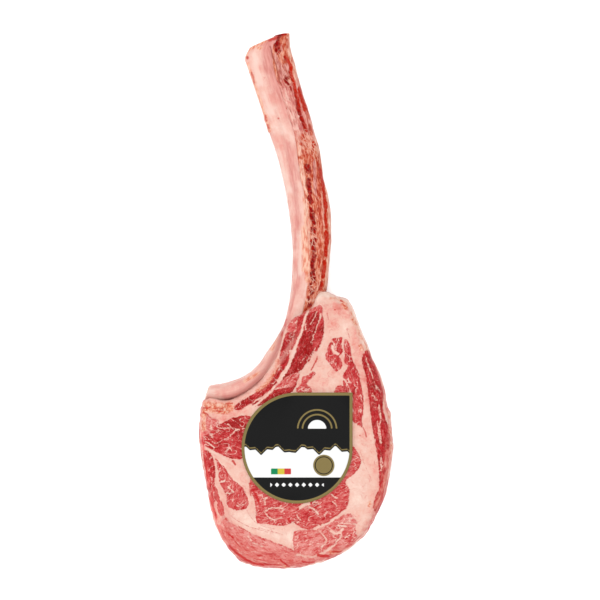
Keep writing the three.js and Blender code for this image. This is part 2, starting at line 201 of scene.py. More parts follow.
# Pale seams and thick marbling in the cut face
SEAMS = [
    (1.8, (9, -8), (6.5, -13), (3.5, -24.5), (-1, -36.5)),
    (2.8, (-1.5, -37.5), (-6, -48.5), (-13, -60.5)),
    (1.5, (-13, -60.5), (-21, -70), (-31, -78.5), (-42, -83)),
    (0.35, (15.5, -8.5), (12.5, -14), (10.5, -18.5)),
    (0.9, (18.6, -10), (16.7, -16)),
    (0.55, (16.7, -16), (14.5, -22.5), (12.5, -28), (10.6, -31.5)),
    (0.3, (6.5, -42), (3, -46.5)),
    (0.5, (7.2, -17), (6.8, -23)),
    (0.4, (0.3, -15), (-0.6, -22), (-3, -30)),
    (2, (27.2, -34), (28.1, -38), (31.5, -40)),
    (0.8, (26.6, -30), (29, -33.5), (29.7, -36.5)),
    (0.7, (31.6, -28.5), (32.2, -31.5), (34.7, -33.5)),
    (0.4, (51, -38.5), (53, -46), (58.5, -61), (60.5, -66.5)),
    (0.5, (57, -69.5), (60.5, -74.5)),
    (0.7, (62, -78.5), (63, -89.5), (61.5, -98.5), (63.5, -107)),
    (0.7, (63, -118), (63.5, -127)),
    (2.2, (3, -155), (6.5, -152.5), (9.5, -152)),
    (1, (9.5, -154), (13.5, -156.5), (16.5, -160)),
    (1, (-23.5, -158.5), (-19.5, -155.5), (-15, -155), (-10, -155.5)),
    (0.9, (-22.5, -160), (-19.5, -163), (-16.5, -164)),
    (0.8, (-25, -148), (-22, -147.5)),
    (0.8, (-23.5, -149), (-23.5, -152.5)),
    (0.9, (-16.5, -165.5), (-13.5, -163), (-10, -162.5)),
    (0.8, (0.5, -161), (3, -164)),
    (0.4, (15, -34.5), (11.5, -40), (8, -45)),
    (0.6, (-11, -64.5), (-16, -66.5), (-20, -69)),
    (0.9, (27, -150.5), (30, -153.5)),
    (0.9, (26, -145), (30.5, -148)),
    (0.8, (13.5, -150.5), (16.5, -152)),
    (1.8, (14, -170.5), (25.5, -165.5), (35, -158.5), (39.5, -155.5)),
    (1, (16.5, -172), (20, -175), (22.5, -180.5), (19.5, -184)),
    (1.6, (31.5, -168.3), (37, -168.8)),
    (0.8, (36.5, -167), (50, -167.5)),
    (1.5, (25.5, -185.5), (16.5, -191), (9, -191.5), (0.5, -190)),
    (1, (-43.5, -188), (-37.5, -191.5), (-31.5, -194.5)),
    (2, (-70.5, -109), (-63, -113), (-55.5, -117.5), (-48, -122)),
    (0.5, (-52, -92.5), (-50, -93.5), (-48.5, -95.5), (-46, -97), (-41.5, -96)),
    (0.7, (-46.5, -98), (-49.5, -101), (-53.5, -104)),
    (0.4, (-65.5, -101), (-62.5, -100.5), (-60, -98.5), (-56.5, -100)),
    (0.4, (-68, -102), (-64.5, -104.5), (-60.5, -106.5), (-55.5, -104.5)),
    (0.6, (-59.5, -94.5), (-55.5, -95.5), (-50, -95.8)),
    (0.4, (-66, -95), (-62, -97), (-57, -97.5)),
    (0.6, (-68.5, -105.5), (-65, -107), (-61, -110)),
    (0.5, (-53, -113), (-50, -110.5), (-48.5, -112.5)),
    (1.2, (-64, -93), (-63, -95.5)),
    (0.6, (-67.5, -132.5), (-63, -137)),
    (1.3, (-56, -135.5), (-53.5, -135)),
    (0.7, (-51, -139), (-49, -141.5), (-47, -143.5)),
    (0.9, (-52.5, -144), (-50, -144.5)),
    (0.6, (-44.5, -153), (-42.5, -154), (-40.5, -153), (-38, -151)),
    (0.7, (-36, -176), (-33.5, -180), (-30, -182.5), (-25, -184)),
    (1.5, (-49.5, -170), (-47.5, -170.5)),
    (0.6, (-43.5, -188), (-38, -192), (-32, -195.5), (-25, -196), (-20, -197.5)),
    (2, (26, -172.5), (29, -174), (33, -173.5), (34.5, -171.5)),
    (1, (33.5, -174.5), (33, -177.5), (30, -180.5), (29, -183), (25.5, -185), (21.5, -187.5), (14.5, -191)),
    (0.8, (40, -165.5), (41.5, -163), (44.5, -163), (46, -165)),
    (0.9, (41.5, -160), (44, -162), (48, -163), (51, -164)),
    (0.8, (36, -177.5), (40.5, -175.5)),
    (0.3, (57, -58), (60.5, -65), (63.5, -68)),
    (0.3, (55.5, -69.5), (60, -75)),
    (0.6, (61.5, -77.5), (62, -86)),
    (0.9, (60.5, -90.5), (63, -102), (64, -106)),
    (0.4, (63.5, -117.5), (65.5, -124.5)),
    (0.6, (34.5, -57), (36.5, -59.5), (38, -63.5)),
]

# Orange gristle and dried edges of the cut face
CUT_AMBER = [
    (9, (-67.5, -78.5), (-59.5, -80), (-52.5, -80.5), (-50.5, -79.5)),
    (4.5, (-70, -80), (-69.5, -86)),
    (4.5, (-70, -89.5), (-70, -95.5)),
    (1.2, (25, 1.8), (29.5, 1.4), (33, 0.5), (37.5, -3)),
    (2.6, (35.5, -3.5), (37.5, -6)),
    (1.6, (55, -38.5), (57.5, -43)),
    (2.6, (42, -14), (44, -17)),
    (1, (41, -8.5), (44.5, -16), (47, -23), (49.5, -29)),
    (2.2, (48, -33.5), (49, -37)),
    (2, (50, -25.5), (52, -32), (53, -36.5)),
    (4.2, (67.4, -73), (69.6, -80), (71, -88)),
    (2.4, (-13, -44.5), (-15, -50.5), (-18.7, -57.5), (-23, -62.5), (-29, -67.5)),
    (2.6, (71, -93.5), (72, -108.5), (70.5, -127), (67.5, -142)),
    (1.9, (55, -151), (54.5, -153.5)),
    (2.2, (25.5, -188.5), (33.5, -188)),
    (1.9, (-9, -199), (-6, -200)),
]

# Thin red lines and spots on its fat and rim
CUT_RED = [
    (0.7, (-60.5, -81), (-58, -80.5), (-55, -81), (-55, -82.5), (-58, -83), (-60, -82.5)),
    (0.7, (-52, -77), (-47.5, -76.5)),
    (0.9, (-70, -80), (-66.5, -80.5), (-64, -79.5)),
    (0.9, (-69.5, -84), (-67, -84.5), (-65.5, -86.5)),
    (1, (-54.5, -85)),
    (0.3, (23, -9.5), (24, -14.5)),
    (0.2, (38, -21), (39, -25), (40, -28.5)),
    (0.9, (28.5, -7), (29, -7)),
    (0.7, (33.5, 0), (34.8, -0.8)),
    (0.8, (35.5, -3.5), (36.3, -4.5)),
    (0.9, (16, -42), (14, -46.5), (11, -52)),
    (1.7, (55.5, -39.5), (58, -45), (61, -52), (64, -59.5)),
    (0.8, (64.5, -62), (66, -68)),
    (0.8, (50, -95), (51.5, -98), (52.3, -102)),
    (0.1, (47.5, -112.5), (52, -124.5), (56.5, -134.5)),
    (0.4, (58.5, -119.5), (58.5, -122)),
    (0.9, (47.5, -101)),
    (0.8, (-35, -136.5), (-34.5, -142), (-34, -146)),
    (1.6, (-32, -142), (-29.5, -147), (-28, -151)),
    (1.3, (-68.6, -118), (-67.6, -127), (-66.6, -135)),
    (0.6, (-66.3, -141), (-64.8, -148), (-62.5, -154)),
    (0.2, (-28.5, -170), (-21, -172), (-15, -173.5), (-10, -175)),
    (0.5, (-43.5, -168.5), (-36, -173)),
    (0.2, (-49, -161), (-41, -166.5), (-31, -170.5), (-21, -173.5)),
    (0.1, (-37, -157), (-32.5, -164), (-25, -168.5), (-16, -171)),
    (1.5, (-47.5, -120), (-45.5, -122.5)),
    (2.2, (16.5, -190.5), (24, -191.5)),
    (1.4, (27, -188), (34.5, -188)),
    (1.2, (-12, -194), (-5, -199.5)),
    (1, (4.5, -195.5), (13.5, -196)),
    (1.7, (-50, -183.5), (-45, -188.5), (-39, -193), (-32.5, -196), (-25, -198)),
    (0.8, (-56, -171), (-51, -174.5), (-47, -177.5)),
    (1.7, (-6, -163.5), (-5, -165)),
]

# Painted shade in the thin creases between the rib's membrane and the strip
RIB_CREASE_SHADE = [
    (0.9, (-19.5, 190.5), (-17.7, 183), (-15.5, 177.5), (-14.2, 172), (-12.8, 165), (-11, 161.5)),
    (0.5, (-12.8, 185), (-9.6, 180), (-9, 172), (-8.4, 166.5), (-7.7, 162), (-5.9, 157.5), (-5, 150)),
    (0.6, (-8.8, 168), (-7, 164.5), (-6, 168.5), (-5, 166)),
]

# Greyish sinew in the strip
TRIM_GREY = [
    (3, (-7.2, 176.5), (-6.1, 172.5), (-5.6, 169)),
    (1.4, (-11.2, 191.5), (-11.2, 187)),
    (2.6, (-15.8, 184), (-13, 175), (-11, 166)),
    (1.6, (-5.1, 159.5), (-4.3, 155)),
    (2.6, (1.4, 136.5), (1.1, 133)),
    (2.4, (13.5, 104.5), (13.8, 96), (14.3, 87.5), (14.1, 79)),
    (2.4, (14.6, 77), (14.9, 72.5), (16, 62.5)),
    (1.4, (13.7, 62.5), (15.7, 56.5), (16.9, 52)),
]

# Dusky pink on the rib's membrane: partly its own tint, partly painted shade in its long hollows, and the
# last row painted shade along the groove beside the steak
BONE_DUSK_AND_SHADE = [
    (9.5, (-19.5, 194), (-20.8, 189), (-20.6, 182), (-18.8, 174)),
    (7, (-17.5, 172), (-16, 165), (-14, 156)),
    (3.5, (-12.6, 156), (-11, 149)),
    (1.8, (-10.8, 149), (-9.5, 140), (-8.5, 133)),
    (3.2, (-7, 118), (-3.5, 101.5), (-2.5, 90.5), (-1, 79), (0, 66.5), (0, 56.5)),
    (1.8, (-0.5, 53), (-1, 40)),
    (2.8, (0, 29), (1, 19), (0.5, 11.5)),
    (2.2, (-1.5, 11.5), (-2, 2.5), (-4, -7), (-5.5, -16)),
    (2, (-17.5, -48), (-18.5, -51)),
    (0.8, (0.5, 114.5), (2, 105.5), (3.5, 92)),
    (4.2, (-52.5, -73), (-44.5, -71), (-36.5, -67.5), (-31, -64),
     (-25.5, -59.5), (-20.5, -53.5), (-16.5, -48.5), (-13.5, -42.5), (-11.5, -36.5), (-10, -31),
     (-7.5, -20.5)),
]

# Its palest ridges
BONE_CREAM = [
    (3.8, (-13.5, 113), (-11.5, 104), (-8.5, 94), (-6, 83)),
    (1.8, (1.5, 113), (4.5, 92), (6, 83), (6.5, 75.5)),
    (3.4, (3, 43), (3, 32), (3, 20.5)),
    (5.2, (-31.5, 183.5), (-29.5, 173), (-27, 162.5)),
    (4.5, (-23.5, 152), (-19.5, 141.5)),
    (4.5, (-67.5, -68.5), (-61.5, -68)),
    (2.2, (-4, 11.5), (-5.5, 0.5)),
]

# Orange bands and streaks on it
BONE_AMBER = [
    (4.1, (7, 77), (8, 64), (9, 41.5), (9, 26.5), (8.5, 16)),
    (2.4, (-28.5, 189.3), (-26.5, 189.5)),
    (2.4, (-14.5, -27.5), (-18.5, -36.5)),
    (2.2, (-28, -54.5), (-38.5, -60.5)),
    (1.6, (-38, 181), (-35.5, 187.5), (-30, 191.3), (-22, 194.8)),
    (0.6, (4.5, 55), (4.5, 45), (4.6, 35), (4.5, 22)),
    (0.5, (5, 104), (6, 95), (7, 86)),
]

# Dried scraps that stand proud along its inner edge
BONE_SCRAPS = [
    (2.2, (-34.2, 171.5)),
    (1.6, (-33, 168.5), (-31, 163)),
    (2, (-23, 139), (-22.6, 134.5)),
    (2, (-21, 133), (-20.4, 129)),
    (1.3, (-36.2, 178), (-32.4, 166), (-28, 153), (-24, 141), (-20.2, 127)),
]

# Blood spots on it
BONE_RED = [
    (2.2, (-36.5, 182)),
    (1.4, (-23, 186.5), (-23, 185)),
    (1, (-23.5, 167)),
    (1.4, (-7, 144.5)),
    (1.2, (-13.5, 136.5)),
    (1, (-23.4, 139), (-22.7, 134.5)),
    (1.4, (-21.4, 132), (-20.6, 129.3)),
    (0.8, (-33.6, 171), (-32.4, 167), (-31, 163)),
    (1.5, (-7.5, -14.5), (-8.5, -18.5)),
    (0.8, (-10.5, -23.5), (-11, -26.5)),
    (1, (-19, 194.5), (-22, 194)),
    (3, (-19.5, 195.8), (-14.5, 197.5)),
]

# Dark red meat in the strip along the rib
TRIM_DARK = [
    (2.8, (-14.6, 196.5), (-14.2, 193.2), (-14.3, 190), (-13.4, 186)),
    (2, (-17.5, 196.3), (-15, 198), (-11.8, 199.4), (-8, 200.2)),
    (1.7, (-9.3, 172), (-8.1, 168), (-7.4, 163.5)),
    (1.2, (-6.6, 166), (-5.2, 161.5), (-4.2, 157)),
    (1.4, (-8.4, 182.8), (-5.9, 179), (-4.3, 175), (-4.2, 170), (-2.8, 166), (-1.9, 162)),
    (1.8, (-1.3, 159.5), (-0.7, 157), (0, 153.5), (0.7, 150.5), (1.4, 147.5), (3, 140)),
    (1.8, (4, 137), (5.4, 133.5), (6.5, 130), (6.9, 127.5)),
    (1.7, (1.9, 159), (2.7, 156), (3.9, 153), (5.1, 148), (6.5, 143)),
    (1, (12.9, 118), (13.1, 115)),
    (3, (8.2, 101), (9.3, 99), (9.8, 96)),
    (2.4, (9.8, 91), (9.8, 86.5), (10.6, 81)),
    (2.2, (9.8, 77.5), (11.2, 73.5)),
    (1.6, (10.9, 69), (11.6, 67)),
    (1.6, (11.4, 64.5), (12.3, 61), (13.5, 57.5)),
    (1.4, (14.1, 68.5), (14.5, 64)),
    (1.2, (12.1, 54.5), (12.2, 51)),
    (1.2, (13.5, 54), (14.9, 50.5)),
    (1.2, (13.5, 46.5), (14.9, 42.5)),
    (2, (12, 44.5), (12.4, 41), (13.8, 37.5)),
    (2.2, (13.3, 33.5), (12.5, 29.5), (12.4, 26.5), (12.9, 23)),
    (2, (11.8, 20), (12.7, 16), (13.2, 14)),
    (1.8, (10.4, 12), (10.1, 9)),
    (2.2, (11.8, 7.5), (12.1, 5.5)),
    (0.9, (9, 2.5), (9.5, 1)),
    (1.7, (10.8, -2), (9.8, -4.2)),
    (1.3, (18, 97.5), (18.9, 92.5), (20, 86), (20.4, 82)),
    (1.5, (20.6, 80), (21.2, 76), (21.9, 71), (22.2, 67)),
    (1, (22, 64.5), (22.2, 60), (22.6, 55)),
    (2, (22.5, 51), (22.8, 47), (22.4, 43)),
    (1.3, (22.3, 41), (22, 37), (21.8, 34)),
    (1.7, (21.2, 29), (20.7, 24), (20, 18)),
    (1.7, (19.1, 13.5), (18.3, 9)),
]

# Brownish meat in the strip
TRIM_BROWN = [
    (2.8, (16.3, 103), (16.6, 96), (16.9, 87.5), (17, 79)),
    (2.8, (17.2, 73.5), (17.5, 68), (17.9, 60.5), (18.3, 57.5)),
    (1.6, (19.1, 56.5), (18.8, 50)),
    (2, (3.5, 117.3), (8.5, 114.5)),
    (2.8, (5.2, 112.3), (7.2, 108.5)),
    (1.4, (2.8, 123), (4.5, 120)),
    (1.8, (12, 113), (15.8, 109), (16.5, 104)),
    (1.4, (11.2, 109.5), (12.5, 105)),
    (2.6, (10.3, -2.5), (9, -4.5)),
    (3, (16.9, 45.5), (16.6, 37), (16.6, 25.5)),
    (1.1, (-10.5, 193), (-9.5, 187)),
    (1, (-7, 196), (-6.5, 189.5)),
    (2.4, (8, 143.5), (9.5, 137)),
    (2.6, (10, 131), (11.5, 125)),
    (3.2, (6.2, 124.5), (8.3, 120.5)),
    (1.6, (13.8, 50), (14.3, 46.5)),
    (1.2, (6.2, 81.5), (7.3, 77)),
    (1, (-2.5, 183), (-3.5, 180)),
    (2.4, (-13.3, 185), (-11.5, 181)),
    (1.6, (-9.5, 174), (-8.5, 168), (-7, 160)),
]

# Pale membrane on the strip; beside the steak's knob the pale also stands as painted light over the shade
# that the knob casts on the strip
TRIM_PALE = [
    (1, (-3.2, 173), (-0.5, 167), (0.6, 161), (0.6, 155.5), (2.2, 148.5), (3.2, 145)),
    (2.6, (-6, 196.5), (-5.4, 189.5), (-3.6, 182), (-1.3, 174.5), (0.2, 168)),
    (1.2, (4.5, 158), (7.5, 147.5), (11, 135.5), (13.5, 123.5), (16, 113)),
    (1.4, (2.3, 139), (3.5, 138.5)),
    (2.8, (1.2, 127), (1.8, 118), (2.6, 110)),
    (1.8, (7.5, 0.6), (13.5, 0.2)),
    (1.2, (9.5, 60), (9.8, 55.5)),
    # Pale fat of the knob, widened as painted light over the knob's shade on the strip
    (2.4, (14.3, -3.5), (15.8, 0.5), (17.2, 5.5)),
    (1, (13.2, 103.5), (15.8, 97)),
    (0.8, (19.4, 81.5), (19.8, 71), (19.7, 62.5)),
    (0.8, (20.5, 72.5), (20.4, 56.5)),
    (1.8, (21.6, 86), (22.8, 80), (24.2, 73), (24.9, 66), (25.1, 58), (25.4, 51)),
    (1.9, (24.8, 44), (24.4, 36), (23.8, 28), (23.4, 20), (22.4, 10)),
    (4.4, (-9, 157), (-6.3, 148), (-3.3, 138.5), (-0.3, 129.5)),
    (3, (3, 104), (5, 90), (6.2, 73.5), (7.3, 62), (8.4, 51), (8.7, 40), (8.4, 28.5), (7.9, 17.5)),
    (1.8, (15, 20), (15, 9)),
]

# Soft spots on the cut face and its rim as x, y, half length, half width and turn in degrees
DARK_PATCH, GREY_PATCH = (-45, -92, 9, 6, 10), (38, -174, 8, 7, 0)
DARK_SHIFT, GREY_SHIFT = 0.28, 0.12
LIP_STRANDS = (-30, -190, 55, 22, -28)
ROSY_FAT = [
    (30, -7, 14, 8, -15), (62, -150, 26, 8, 80), (-46, -84, 14, 4, 20), (52, -60, 40, 4, 105),
    (-64, -149, 12, 4, 105),
]
CREAM_FAT = [
    (17, 1, 5, 6, 60), (-40, -162, 13, 5, -15), (-16, -173.5, 20, 4.5, -20), (-3, -178, 6, 5, 0),
    (46, -142, 9, 20, 0), (-70.5, -92, 3, 12, 0), (-52, -137, 4, 12, 25), (37, -21, 3, 8, 0),
    (-58, -110, 4, 3, 0), (-15, -66, 3, 2, 0),
]
FAT_KNOBS = [(20, 1, 9, 6, 20), (33, -3, 9, 5, -20), (-66, -84, 7, 10, 90), (-54, -79, 12, 5, 0)]
# Where a net of thin membrane covers the strip
NET_PLACES = [
    (7.5, 120, 7, 4, 105), (14, 112, 6, 3, 105), (12.5, 46, 7, 3, 90), (12.5, 12, 6, 3, 90),
    (-12.5, 184, 3, 2, 90), (-5, 165, 4, 2, 110),
]
NET_ELSEWHERE, NET_MOST, NET_BELOW = 0.1, 0.85, 0.3

# Unevenness as noises, each with its height, its size across and its seed
FACE_LUMPS = [(0.3, 9, 11), (0.16, 3.4, 12), (0.08, 1.5, 13)]
CRUST_LUMPS = [(0.25, 2.2, 14)]
KNOB_LUMPS = [(0.8, 4.2, 15), (0.5, 2, 16)]
WALL_HOLLOWS, STRAND_HOLLOWS = [(0.4, 11, 21), (0.2, 4, 22)], [(0.35, 2.4, 23)]
EDGE_TEARS, KNOB_TEARS = [(0.35, 3.2, 24)], [(1, 2.6, 25)]
SOLE_LUMPS = [(0.6, 14, 31), (0.3, 5, 32)]
BONE_LUMPS = [(0.22, 12, 41), (0.1, 4, 42)]
TRIM_LUMPS, TRIM_STREAKS = [(0.35, 9, 51), (0.12, 1.6, 53)], [(0.3, 2.6, 52)]
SAWN_LUMPS = [(0.25, 2.5, 71)]
SEAM_SWAY, PLAIN_FAT_SWAY, WALL_LEAN_SWAY = [(0.15, 4, 5)], [(8, 14, 65)], [(4, 9, 66)]
# The same for frayed outlines, with shares for heights, and how far each table's marks fray
FRAY = [(1, 3.2, 1), (0.55, 1.4, 3)]
CUT_FRAY, CRUST_FRAY, RED_FRAY, BONE_FRAY, TRIM_FRAY = 0.35, 0.5, 0.25, 0.35, 0.25

# Lean meat shows a little past its traced outline. Muscles are sought this far around them, and fat that is
# further off has this depth inside lean meat.
MUSCLE_GROWTH, MUSCLE_MARGIN, FAT_DEPTH = 0.4, 12, -50.0
# How far the cut face and its relief lie below the full thickness
FACE_SINK, RELIEF_DROP = 1.0, 0.5
# How much lean meat rises, seams between muscles sink and the label presses all this flat, and from which
# depth to which depth inside the lean meat, the seam, the crust and the label that happens
LEAN_RISE, SEAM_DIP, PRESSED_FLAT = 0.35, 0.3, 0.85
LEAN_EDGE, SEAM_MIDDLE, SEAM_WIDTH, CRUST_EDGE, LABEL_EDGE = (-0.4, 1.2), -0.2, 0.7, (-1, 1.5), (-3, 1)
# Muscles whose fibres run differently are this much apart in the pattern, per radian
FIBRE_SHIFT = 9
# The rim is rounded less by this share at the rib's middle line, and over this distance from it
TIGHTEST_RIM, TIGHT_REACH = 0.55, 12
# The rim's outline is worn back this much between its tears, and its wall is this hollow between dents
EDGE_WEAR, WALL_HOLLOW, SOLE_WEAR = 0.05, 0.25, 0.1
# Inside the steak the muscles drift from their traced outlines, between these heights
DRIFT, DRIFT_HEIGHTS = ([(7, 26, 61)], [(7, 26, 62)]), (32, 8)
# Down the wall, from this depth: lean meat gives way to fat, and the marks of the cut face end
WALL_DEPTH, LEAN_END, LEAN_LOSS, MARKS_END = 1.2, (5, 14), 12, (4, 9)
# How much paler plain fat on the rim is painted, as painted light over the rim's shade, and how much
# creamier than elsewhere the cream spots and the seams are
PLAIN_RIM_LIGHT, PLAIN_RIM_LIGHT_START, SPOT_CREAM, SEAM_CREAM, SEAM_EDGE = 2, (-1, -6), 1.3, 0.9, (0.1, 0.8)
# The stretch of cut meat beside the rib where the groove between them is painted pale, as painted light
# against the groove's shade: distance from the rib's edge, and along y
GROOVE_LIGHT_REACH, GROOVE_LIGHT_Y = (3, -0.3), (-22, -34)
# Where the rim's looks change along x, along y and down the wall
RIGHT_X, RIGHT_BOTTOM, RIGHT_TOP, LEFT_X = (40, 62), (-165, -150), (-100, -114), (-50, -64)
PLAIN_X, PLAIN_Y, PLAIN_FALL, PLAIN_LOSS = (8, 18), (-52, -34), (6, 16), 0.4
LATE_X, LATE_Y, LATE_BY = (40, 52), (-84, -76), 4
# Where the strands begin, in millimetres inside the rim: anywhere, on the right and on the lower lip
STRANDS_START, RIGHT_STRANDS_START, LIP_STRANDS_START = (-2, -9), (0.5, -3), (13, 2)
# Strands on the rim change with the direction from the middle, as on a circle of this radius
STRAND_RADIUS = 12
# Marks are sought this far around them, and a depth this far below 0 shows nothing
FAR = 9.0
# A bar's marks fade out towards its flanks between these heights, as shares of half its depth
UPPER_SIDE, UPPER_SIDE_RED = (0.1, 0.45), (0.25, 0.5)
# The rib's long hollow: where it starts across the rib, how far it moves over, its width and depth, and
# the stretches of the rib where it moves and deepens
HOLLOW_START, HOLLOW_MOVE, HOLLOW_WIDTH, HOLLOW_DEPTH = -0.45, 0.75, 0.24, 1.3
HOLLOW_MOVES, HOLLOW_DEEPENS = (0.4, 1), (0.25, 0.45)
# How much the rib and the strip sink as a whole and swell out again where they touch each other, and how
# much scraps and pale membrane rise and dark meat sinks
BONE_SINK, BONE_SWELL, TRIM_SINK, TRIM_SWELL, SWELL_START = 0.25, 0.3, 0.45, 0.5, (0.3, 0.9)
SCRAP_HEIGHT, PALE_RISE, DARK_DIP = 0.9, 0.3, 0.4
# Irregular marks on a bar's flanks: two noises, with their heights and how drawn out they are, less a bit
SIDE_MARKS, SIDE_MARKS_LESS = ((2.6, 0.22), (1.2, 0.4)), 0.6
# Where shade is painted on the rib beside the steak, in the groove between them: depth inside the steak's
# outline, and along y and x
SHADE_IN, SHADE_OUT, SHADE_Y, SHADE_X = (-5.5, -1.5), (-0.8, 0.3), (-8, -26), (-60, -44)
# The label's print keeps this far from its edge
LABEL_MARGIN = 2.2

# Meshing: spacing of the points, rings round an edge, points round a bar
CUT_STEP, SIDE_STEP, SOLE_STEP, RIM_STEPS = 0.7, 1.5, 1.25, 12
LABEL_STEP, LABEL_BACK_STEP = 0.8, 3
BAR_STEP, BONE_SIDES, TRIM_SIDES = 0.6, 100, 90
# The rings that close a bar's sawn end, as shares of its last section, and how far the end bulges
END_RINGS = (0.97, 0.93, 0.86, 0.78, 0.68, 0.56, 0.44, 0.32, 0.2, 0.1)
BONE_END_BULGE, TRIM_END_BULGE = 0.6, 0.8

# How much the studio light brightens a level surface, so that colours can be given as they are seen.
STUDIO_LIGHT = 2.08
SURFACE_SHEEN = 0.018
MOIST_IOR, TRIM_IOR = 1.16, 1.11

# Studio, in metres and watts
OVERHEAD_PLACE, OVERHEAD_SIZE, OVERHEAD_POWER = (0.15, 0.3, 3.4), 2.0, 83.0
RING_COUNT, RING_FROM, RING_SWAY = 8, 200, 0.25
RING_REACH, RING_HEIGHT, RING_SIZE, RING_POWER = 1.35, 0.75, 0.7, 7.9
WORLD_LIGHT = 0.39
FLOOR_HALF, FLOOR_DROP, FLOOR_COLOUR = 4.0, 0.0002, (0.92, 0.92, 0.92, 1.0)
CAMERA_HEIGHT, FOCUS_HEIGHT, VIEW_WIDTH, VIEW_MIDDLE = 8.0, 0.02, 0.45, (0.0028, 0.0004)


# Curves and distances

def smooth_curve(points, closed=False, steps=14):
    """A dense smooth curve through the points (centripetal Catmull-Rom), in any number of dimensions."""
    p = np.array(points, float)
    if closed:
        p = np.vstack([p[-1:], p, p[:2]])
    else:
        p = np.vstack([2 * p[0] - p[1], p, 2 * p[-1] - p[-2]])
    gap = np.sqrt(np.linalg.norm(np.diff(p, axis=0), axis=1))[:, None]
    slope = np.diff(p, axis=0) / gap
    wide = (p[2:] - p[:-2]) / (gap[1:] + gap[:-1])
    tangent = slope[:-1] - wide + slope[1:]
    share = np.linspace(0, 1, steps, endpoint=False)[None, :, None]
    start, end, span = p[1:-2, None], p[2:-1, None], gap[1:-1, None]
    leave, arrive = tangent[:-1, None] * span, tangent[1:, None] * span
    h = share ** 3 - share ** 2
    curve = start * (2 * h - share ** 2 + 1) + leave * (h - share ** 2 + share)
    curve = (curve + end * (share ** 2 - 2 * h) + arrive * h).reshape(-1, p.shape[1])
    return curve if closed else np.vstack([curve, p[-2:-1]])


def even_curve(curve, spacing, closed=False):
    """The same curve with its points spaced evenly along the first two dimensions."""
    if closed:
        curve = np.vstack([curve, curve[:1]])
    length = np.concatenate([[0], np.cumsum(np.linalg.norm(np.diff(curve[:, :2], axis=0), axis=1))])
    count = max(2, round(length[-1] / spacing)) + 1
    at = np.linspace(0, length[-1], count)
    even = np.stack([np.interp(at, length, column) for column in curve.T], axis=1)
    return even[:-1] if closed else even


def counter_clockwise(loop):
    x, y = loop.T
    area = np.sum(x * np.roll(y, -1) - y * np.roll(x, -1))
    return loop if area > 0 else loop[::-1]


def line_distance(points, line):
    """How far each point is from a broken line."""
    best = np.full(len(points), np.inf)
    for a, b in zip(line[:-1], line[1:]):
        d = b - a
        share = np.clip((points - a) @ d / max(d @ d, 1e-9), 0, 1)
        best = np.minimum(best, np.linalg.norm(points - a - share[:, None] * d, axis=1))
    return best


def depth_inside(points, loop):
    """How deep each point is inside a closed outline, below 0 outside it."""
    closed = np.vstack([loop, loop[:1]])
    odd = np.zeros(len(points), bool)
    x, y = points.T
    for a, b in zip(closed[:-1], closed[1:]):
        crosses = (a[1] > y) != (b[1] > y)
        height = b[1] - a[1] if b[1] != a[1] else 1e-9
        odd ^= crosses & (x < a[0] + (y - a[1]) / height * (b[0] - a[0]))
    away = line_distance(points, closed)
    return np.where(odd, away, -away)


def loop_reach(loop, centre, points):
    """How far a loop that is star-shaped about a centre reaches from there, in each point's direction."""
    ray, to_point = loop - centre, points - centre
    turn = np.arctan2(ray[:, 1], ray[:, 0])
    order = np.argsort(turn)
    return np.interp(np.arctan2(to_point[:, 1], to_point[:, 0]), turn[order],
                     np.linalg.norm(ray, axis=1)[order], period=2 * math.pi)


def soft_step(value, low, high):
    """0 at low, 1 at high and beyond, and smooth between. Low may be the larger one."""
    share = np.clip((value - low) / (high - low), 0, 1)
    return share * share * (3 - 2 * share)


# Unevenness, spots and marks

def noise(points, size, seed=0):
    """Smooth random values from about -1 to 1 that change over some size in millimetres."""
    q = np.asarray(points, float) / size
    cell = np.floor(q).astype(np.int64)
    part = q - cell
    part = part * part * (3 - 2 * part)
    primes = (73856093, 19349663, 83492791)
    total = np.zeros(len(q))
    for corner in np.ndindex(*(2,) * q.shape[1]):
        key = sum((cell[:, i] + corner[i]) * primes[i] for i in range(q.shape[1])) + seed * 7919
        key = (key ^ (key >> 13)) * 1274126177 & 0xFFFFFFFF
        key = (key ^ (key >> 16)) * 668265263 & 0xFFFFFF
        weight = np.prod(np.where(corner, part, 1 - part), axis=1)
        total += weight * (key / 0x7FFFFF - 1)
    return total


def lumps(points, rows):
    """Noises added up, from rows of height, size and seed."""
    return sum(height * noise(points, size, seed) for height, size, seed in rows)


def ragged(xy, amount):
    """The same points pushed about a little, which frays every outline that is drawn with them."""
    for share, size, seed in FRAY:
        push = np.stack([noise(xy, size, seed), noise(xy, size, seed + 1)], axis=1)
        xy = xy + amount * share * push
    return xy


def spot(points, x, y, length, width, turn):
    """A soft spot, 1 in its middle, that is longer one way."""
    a = math.radians(turn)
    along = ((points[:, 0] - x) * math.cos(a) + (points[:, 1] - y) * math.sin(a)) / length
    across = ((points[:, 1] - y) * math.cos(a) - (points[:, 0] - x) * math.sin(a)) / width
    return np.exp(-(along ** 2 + across ** 2))


def spots(points, places):
    return sum(spot(points, *place) for place in places)


def near_line(xy, line, margin):
    """Which points lie in the line's box, with some margin round it."""
    low, high = line.min(axis=0) - margin, line.max(axis=0) + margin
    return np.flatnonzero(np.all((xy > low) & (xy < high), axis=1))


def mark_depth(xy, marks):
    """How deep each point lies in the nearest mark of a table, below 0 outside them all."""
    depth = np.full(len(xy), -FAR)
    for width, *line in marks:
        line = smooth_curve(line, steps=4) if len(line) > 1 else np.array(line * 2, float)
        near = near_line(xy, line, FAR + width)
        depth[near] = np.maximum(depth[near], width / 2 - line_distance(xy[near], line))
    return depth


# Meshes

